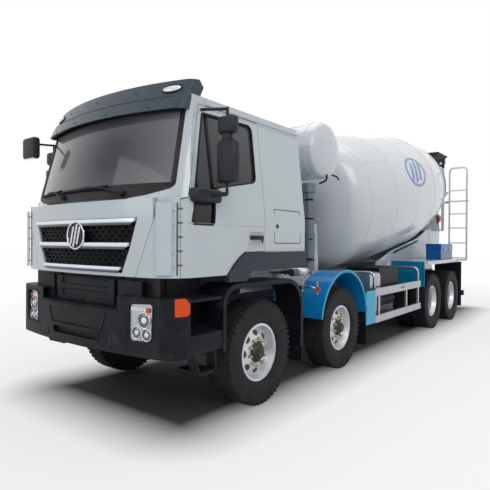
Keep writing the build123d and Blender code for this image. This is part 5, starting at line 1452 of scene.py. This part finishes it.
def add_stand():
    """Cheeks of the rear stand with their slots, over the frame's own."""
    outline = [(4500, 1210), (8560, 1210), (8640, 2000), (7560, 2000), (6900, 1800), (5300, 1535),
               (4560, 1330)]
    half, r, rise = 750, 23, radians(9.4)
    t = np.linspace(-pi / 2, pi / 2, 9)
    end = np.stack([half + r * np.cos(t), r * np.sin(t)], axis=1)
    c, s = cos(rise), sin(rise)
    slot = np.vstack([end, -end]) @ np.array([[c, s], [-s, c]]) + (6175, 1618)
    hole = disc(6850, 1395, 120, sides=32)
    cheek = less(prism(outline, "x", 541, 556), prism(slot, "x", 500, 600), prism(hole, "x", 500, 600))
    make_solid("stand_cheeks", both(cheek), "chassis", "mixer_white", "mixer_white", edge=0.002)
    make_solid("stand_seals", both(prism(slot, "x", 545, 558)), "chassis", "seal_black", "black_plastic")


def add_guard_tubes():
    """Bent silver tubes over the ends of the guard rails."""
    tubes = [tube([(x, y, 1.234), (1.212, y, 1.234), (1.212, y, 0.98)], 0.024)
             for x, y in ((0.372, 2.88), (0.552, 4.90))]
    make("guard_tubes", both(joined(*tubes)), "chassis", "alloy", "alloy")


def add_fender_bracket():
    """Silver rod with T ends across the first fender's front, its amber reflector, and the pipe above it."""
    y = 1.150
    rod = [tube([(0.95, y, 1.150), (1.215, y, 1.125)], 0.011)]
    for x, z in ((0.985, 1.147), (1.195, 1.127)):
        rod.append(tube([(x, y, z + 0.065), (x, y, z - 0.065)], 0.009))
        rod += [ball(place(x, y, z + dz), 0.014) for dz in (0.065, -0.065)]
    make("fender_rod", both(joined(*rod)), "chassis", "alloy", "alloy")
    reflector = brick(1185, 1240, 1128, 1142, 1095, 1150)
    make_solid("fender_reflectors", both(reflector), "chassis", "amber", "lamp_glass", edge=0.003)
    pipe = tube([(0.60, 1.02, 1.335), (1.13, 1.02, 1.335)], 0.045, 20)
    make("cross_pipe", pipe, "chassis", "alloy", "alloy")


def add_vane_seams():
    """Painted shadow lines along the corner vanes, and their slots as dark painted shade."""
    lines = [strip(on_cab, np.full(30, x), np.linspace(1.405, 2.02, 30), 0.007, 0.0015)
             for x in (1.048, 1.172)]
    lines += [strip(on_cab, np.linspace(x, x + 0.022, 4), np.full(4, z), 0.014, 0.0016)
              for z in (1.49, 1.61, 1.73, 1.85, 1.97) for x in (1.026, 1.172)]
    make("vane_seams", both(joined(*lines)), "cab", "seam_shadow_grey", "black_plastic")


def add_rear_lamps():
    """Red, amber and clear faces on the tail lamps."""
    face = flat(place(0, 8.560, 0), (-1, 0, 0), (0, 0, 1))
    for name, finish, spans in (("tail_lamps_red", "red_lens", ((0.655, 0.790), (0.955, 1.085))),
                                ("tail_lamps_amber", "amber", ((0.80, 0.87),)),
                                ("tail_lamps_clear", "lamp_clear", ((0.88, 0.945),))):
        parts = [plate(face, box_outline(a, b, 0.812, 0.918, 0.008), 0.006, edge=0.003)
                 for x0, x1 in spans for a, b in ((x0, x1), (-x1, -x0))]
        make(name, joined(*parts), "chassis", finish, "lamp_glass")


def add_clamps():
    """Black clamps on the intake pipe."""
    rings = []
    for z in (1.46, 1.72, 1.98, 2.22, 2.38):
        y = 1.29 - 0.02 * min(1, max(0, (z - 1.8) / 0.63))
        rings.append(stud(tuple(place(1.000, y, z)), "z", 0.064, 0.028, 28))
        rings.append(tube([(1.03, y - 0.05, z + 0.014), (1.075, y - 0.05, z + 0.014)], 0.008))
    make("pipe_clamps", joined(*rings), "chassis", "seal_black", "black_plastic")


def cushion(x0, x1, y0, y1, z0, z1, crown, power=0.32, lean=0.0):
    """A crowned closed pad: p = centre + u (half + crown w), u a ball's directions passed through curve().

    curve(a) = sgn(a) |a|^power squares the ball up, and w, the product of 1 - u^2 over the other two directions,
    makes each face swell by crown at its middle. lean moves y as z grows."""
    v, t = np.meshgrid(np.linspace(-pi / 2, pi / 2, 27), np.linspace(0, 2 * pi, 53)[:-1], indexing="ij")

    def curve(a):
        return np.sign(a) * np.abs(a) ** power
    level = curve(np.cos(v))
    unit = np.stack([level * curve(np.cos(t)), level * curve(np.sin(t)), curve(np.sin(v))], axis=-1)
    half = np.array([x1 - x0, y1 - y0, z1 - z0]) / 2 - crown
    x, y, z = (1 - unit[..., i] ** 2 for i in range(3))
    swell = crown * np.stack([y * z, x * z, x * y], axis=-1)
    points = unit * (half + swell) + np.array([x0 + x1, y0 + y1, z0 + z1]) / 2
    points[..., 1] += lean * (points[..., 2] - z0)
    return points.reshape(-1, 3), grid_faces(27, 52, close_columns=True)


def add_interior():
    """Seats, bunk, dashboard and steering wheel seen through the glass."""
    pads, hard, belts = [], [], []
    for s in (-1, 1):
        x = s * 720
        pads.append((f"seat_{s + 1}", cushion(x - 255, x + 255, -570, -70, 1715, 1870, 18)))
        pads.append((f"seat_back_{s + 1}", cushion(x - 240, x + 240, -190, -60, 1850, 2470, 16, lean=0.16)))
        pads.append((f"head_rest_{s + 1}", cushion(x - 140, x + 140, -70, 20, 2500, 2680, 12, lean=0.1)))
        hard.append(brick(x - 190, x + 190, -520, -120, 1426, 1700))
        hard.append(brick(x - 250, x + 250, -560, -80, 1695, 1722))
        belts += [brick(x - 60 + d, x - 50 + d, -60, -40, 2440, 2540) for d in (0, 110)]
    pads.append(("bunk", cushion(-1080, 1080, 180, 740, 1780, 1910, 20, 0.2)))
    hard.append(brick(-1100, 1100, 160, 750, 1740, 1780))
    for name, part in pads:
        piece = make_solid(name, part, "cab", "seat_cloth", "interior", ("cab_interior",), 0, 60)
    dash = less(prism([(-1250, 1700), (-900, 1700), (-850, 1760), (-850, 1990), (-930, 2040), (-1110, 2035),
                       (-1250, 1900)], "x", -1000, 1000), brick(-260, 260, -900, -840, 1760, 1960))
    hood = prism([(-1080, 2030), (-900, 2030), (-885, 2075), (-1000, 2095), (-1080, 2070)], "x", 500, 940)
    make_solid("dashboard", joined(dash, hood), "cab", "interior", "interior", edge=0.006)
    make_solid("seat_frames", joined(*hard, *belts), "cab", "interior", "interior", edge=0.004)
    t, tilt, radius = np.linspace(0, 2 * pi, 49)[:-1], radians(28), 0.215
    hub = np.array([0.720, -0.680, 2.092])
    ring = spots(hub[0] + radius * np.cos(t), hub[1] + radius * np.sin(t) * cos(tilt),
                 hub[2] + radius * np.sin(t) * sin(tilt))
    wheel = [carried(ring, circle(0.015, 8), closed=True),
             stud(tuple(place(*(hub - (0, 0.005, 0.02)))), "z", 0.06, 0.03, 24)]
    for a in (0.3, pi - 0.3, -pi / 2):
        tip = hub + 0.21 * np.array([cos(a), sin(a) * cos(tilt), sin(a) * sin(tilt)])
        wheel.append(tube([hub, tip], 0.012))
    wheel.append(tube([(0.720, -0.90, 1.99), hub - (0, 0.01, 0.02)], 0.028))
    make("steering_wheel", joined(*wheel), "cab", "interior", "interior")


# ---------------------------------------------------------------- stage
CAMERA_AT = place(4.0458, -4.0092, 1.6888)
CAMERA_HEADING, CAMERA_PITCH, CAMERA_ROLL = 38.676, -0.342, 0.3135
CAMERA_LENS, CAMERA_SHIFT = 34.755, 0.01805
# name, where it stands, what it looks at, its side and its power
LAMPS = (("key", (9, -7, 9), (0, 2, 1.5), 7.0, 520), ("front", (-5, -12, 6), (0, 1, 1.5), 7.0, 200),
         ("top", (0, 4, 13), (0, 4, 1), 10.0, 560), ("rear", (-6, 14, 7), (0, 5, 2), 6.0, 200))
SKY_LIGHT = 0.42
# FLOOR_PAINTED_SHADOW is the colour of a shadow painted on the floor under the truck
FLOOR_HALF, FLOOR_PALE, FLOOR_PAINTED_SHADOW = 60.0, (0.86, 0.86, 0.86), (0.05, 0.05, 0.052)


def add_camera():
    """The camera, by its heading from straight ahead, its pitch and its roll."""
    heading, pitch, roll = (radians(a) for a in (CAMERA_HEADING, CAMERA_PITCH, CAMERA_ROLL))
    forward = np.array([-sin(heading) * cos(pitch), cos(heading) * cos(pitch), sin(pitch)])
    level = np.array([cos(heading), sin(heading), 0.0])
    right = level * cos(roll) + np.cross(level, forward) * sin(roll)
    up = np.cross(right, forward)
    data = bpy.data.cameras.new("camera")
    data.lens, data.sensor_width, data.shift_x = CAMERA_LENS, 36.0, CAMERA_SHIFT
    data.clip_end = 200
    camera = bpy.data.objects.new("camera", data)
    bpy.context.scene.collection.objects.link(camera)
    turn = np.eye(4)
    turn[:3, 0], turn[:3, 1], turn[:3, 2], turn[:3, 3] = right, up, -forward, CAMERA_AT
    camera.matrix_world = Matrix([list(row) for row in turn])
    bpy.context.scene.camera = camera


def add_lamp(name, at, towards, size, power):
    """A large soft lamp that looks at a point."""
    data = bpy.data.lights.new(name, "AREA")
    data.shape, data.size, data.energy = "SQUARE", size, power
    lamp = bpy.data.objects.new(name, data)
    bpy.context.scene.collection.objects.link(lamp)
    lamp.location = at
    direction = Vector(towards) - Vector(at)
    lamp.rotation_euler = direction.to_track_quat("-Z", "Y").to_euler()


def seen_by(tree, *rays):
    """1 for the kinds of ray named, 0 for the others."""
    path = tree.nodes.new("ShaderNodeLightPath")
    seen = Value(path.outputs[rays[0]])
    for ray in rays[1:]:
        seen = seen.most(Value(path.outputs[ray]))
    return seen


def add_stage():
    """Pale floor and white surroundings, seen white by the camera, gloss and glass, and the lamps.

    The floor carries a painted shadow under the truck, darker by the distance from a rectangle of its length and
    width."""
    scene = bpy.context.scene
    scene.view_settings.view_transform = "Standard"
    world = bpy.data.worlds.new("studio")
    scene.world = world
    world.use_nodes = True
    back = world.node_tree.nodes["Background"]
    seen = seen_by(world.node_tree, "Is Camera Ray", "Is Glossy Ray", "Is Transmission Ray")
    world.node_tree.links.new((seen * (1 - SKY_LIGHT) + SKY_LIGHT).socket, back.inputs["Strength"])
    back.inputs["Color"].default_value = (1, 1, 1, 1)
    corners = [(-FLOOR_HALF, -FLOOR_HALF, 0), (FLOOR_HALF, -FLOOR_HALF, 0), (FLOOR_HALF, FLOOR_HALF, 0),
               (-FLOOR_HALF, FLOOR_HALF, 0)]
    mesh = bpy.data.meshes.new("floor")
    mesh.from_pydata(corners, [], [[0, 1, 2, 3]])
    piece = bpy.data.objects.new("floor", mesh)
    scene.collection.objects.link(piece)
    f = Finish("floor_paper", FLOOR_PALE, 0.9)
    aside, along = (f.x.size() - 0.9).most(0.0), ((f.y - 0.15).size() - 5.1).most(0.0)
    away = (aside * aside + along * along).root()
    # clear is 0 inside the painted shadow under the truck and rises to 1 outside it
    clear, far = away.between(0.0, 0.85), away.between(1.0, 9.0)
    f.feed("Base Color", f.mixed(clear, FLOOR_PAINTED_SHADOW, FLOOR_PALE))
    white = f.tree.nodes.new("ShaderNodeEmission")
    mix = f.tree.nodes.new("ShaderNodeMixShader")
    seen = seen_by(f.tree, "Is Camera Ray", "Is Glossy Ray")
    # Painted shadow: the white emission that camera and gloss rays see on the floor is left out under the truck,
    # and grows further away
    f.tree.links.new((seen * clear * (far * 0.35 + 0.62)).socket, mix.inputs[0])
    f.tree.links.new(f.shader.outputs[0], mix.inputs[1])
    f.tree.links.new(white.outputs[0], mix.inputs[2])
    f.tree.links.new(mix.outputs[0], f.tree.nodes["Material Output"].inputs[0])
    mesh.materials.append(f.material)
    for name, at, towards, size, power in LAMPS:
        add_lamp(name, place(*at), place(*towards), size, power)


finish_frame()
add_camera()
add_stage()
add_cab()
add_cab_plastics()
add_windscreen()
add_doors()
add_cab_sides()
add_visor()
add_mirrors()
add_emblem()
add_wheels()
add_bumper()
add_headlamps()
add_steps()
add_drum()
add_water_tank()
add_fenders()
add_stand()
add_guard_tubes()
add_rear_lamps()
add_clamps()
add_fender_bracket()
add_vane_seams()
add_interior()
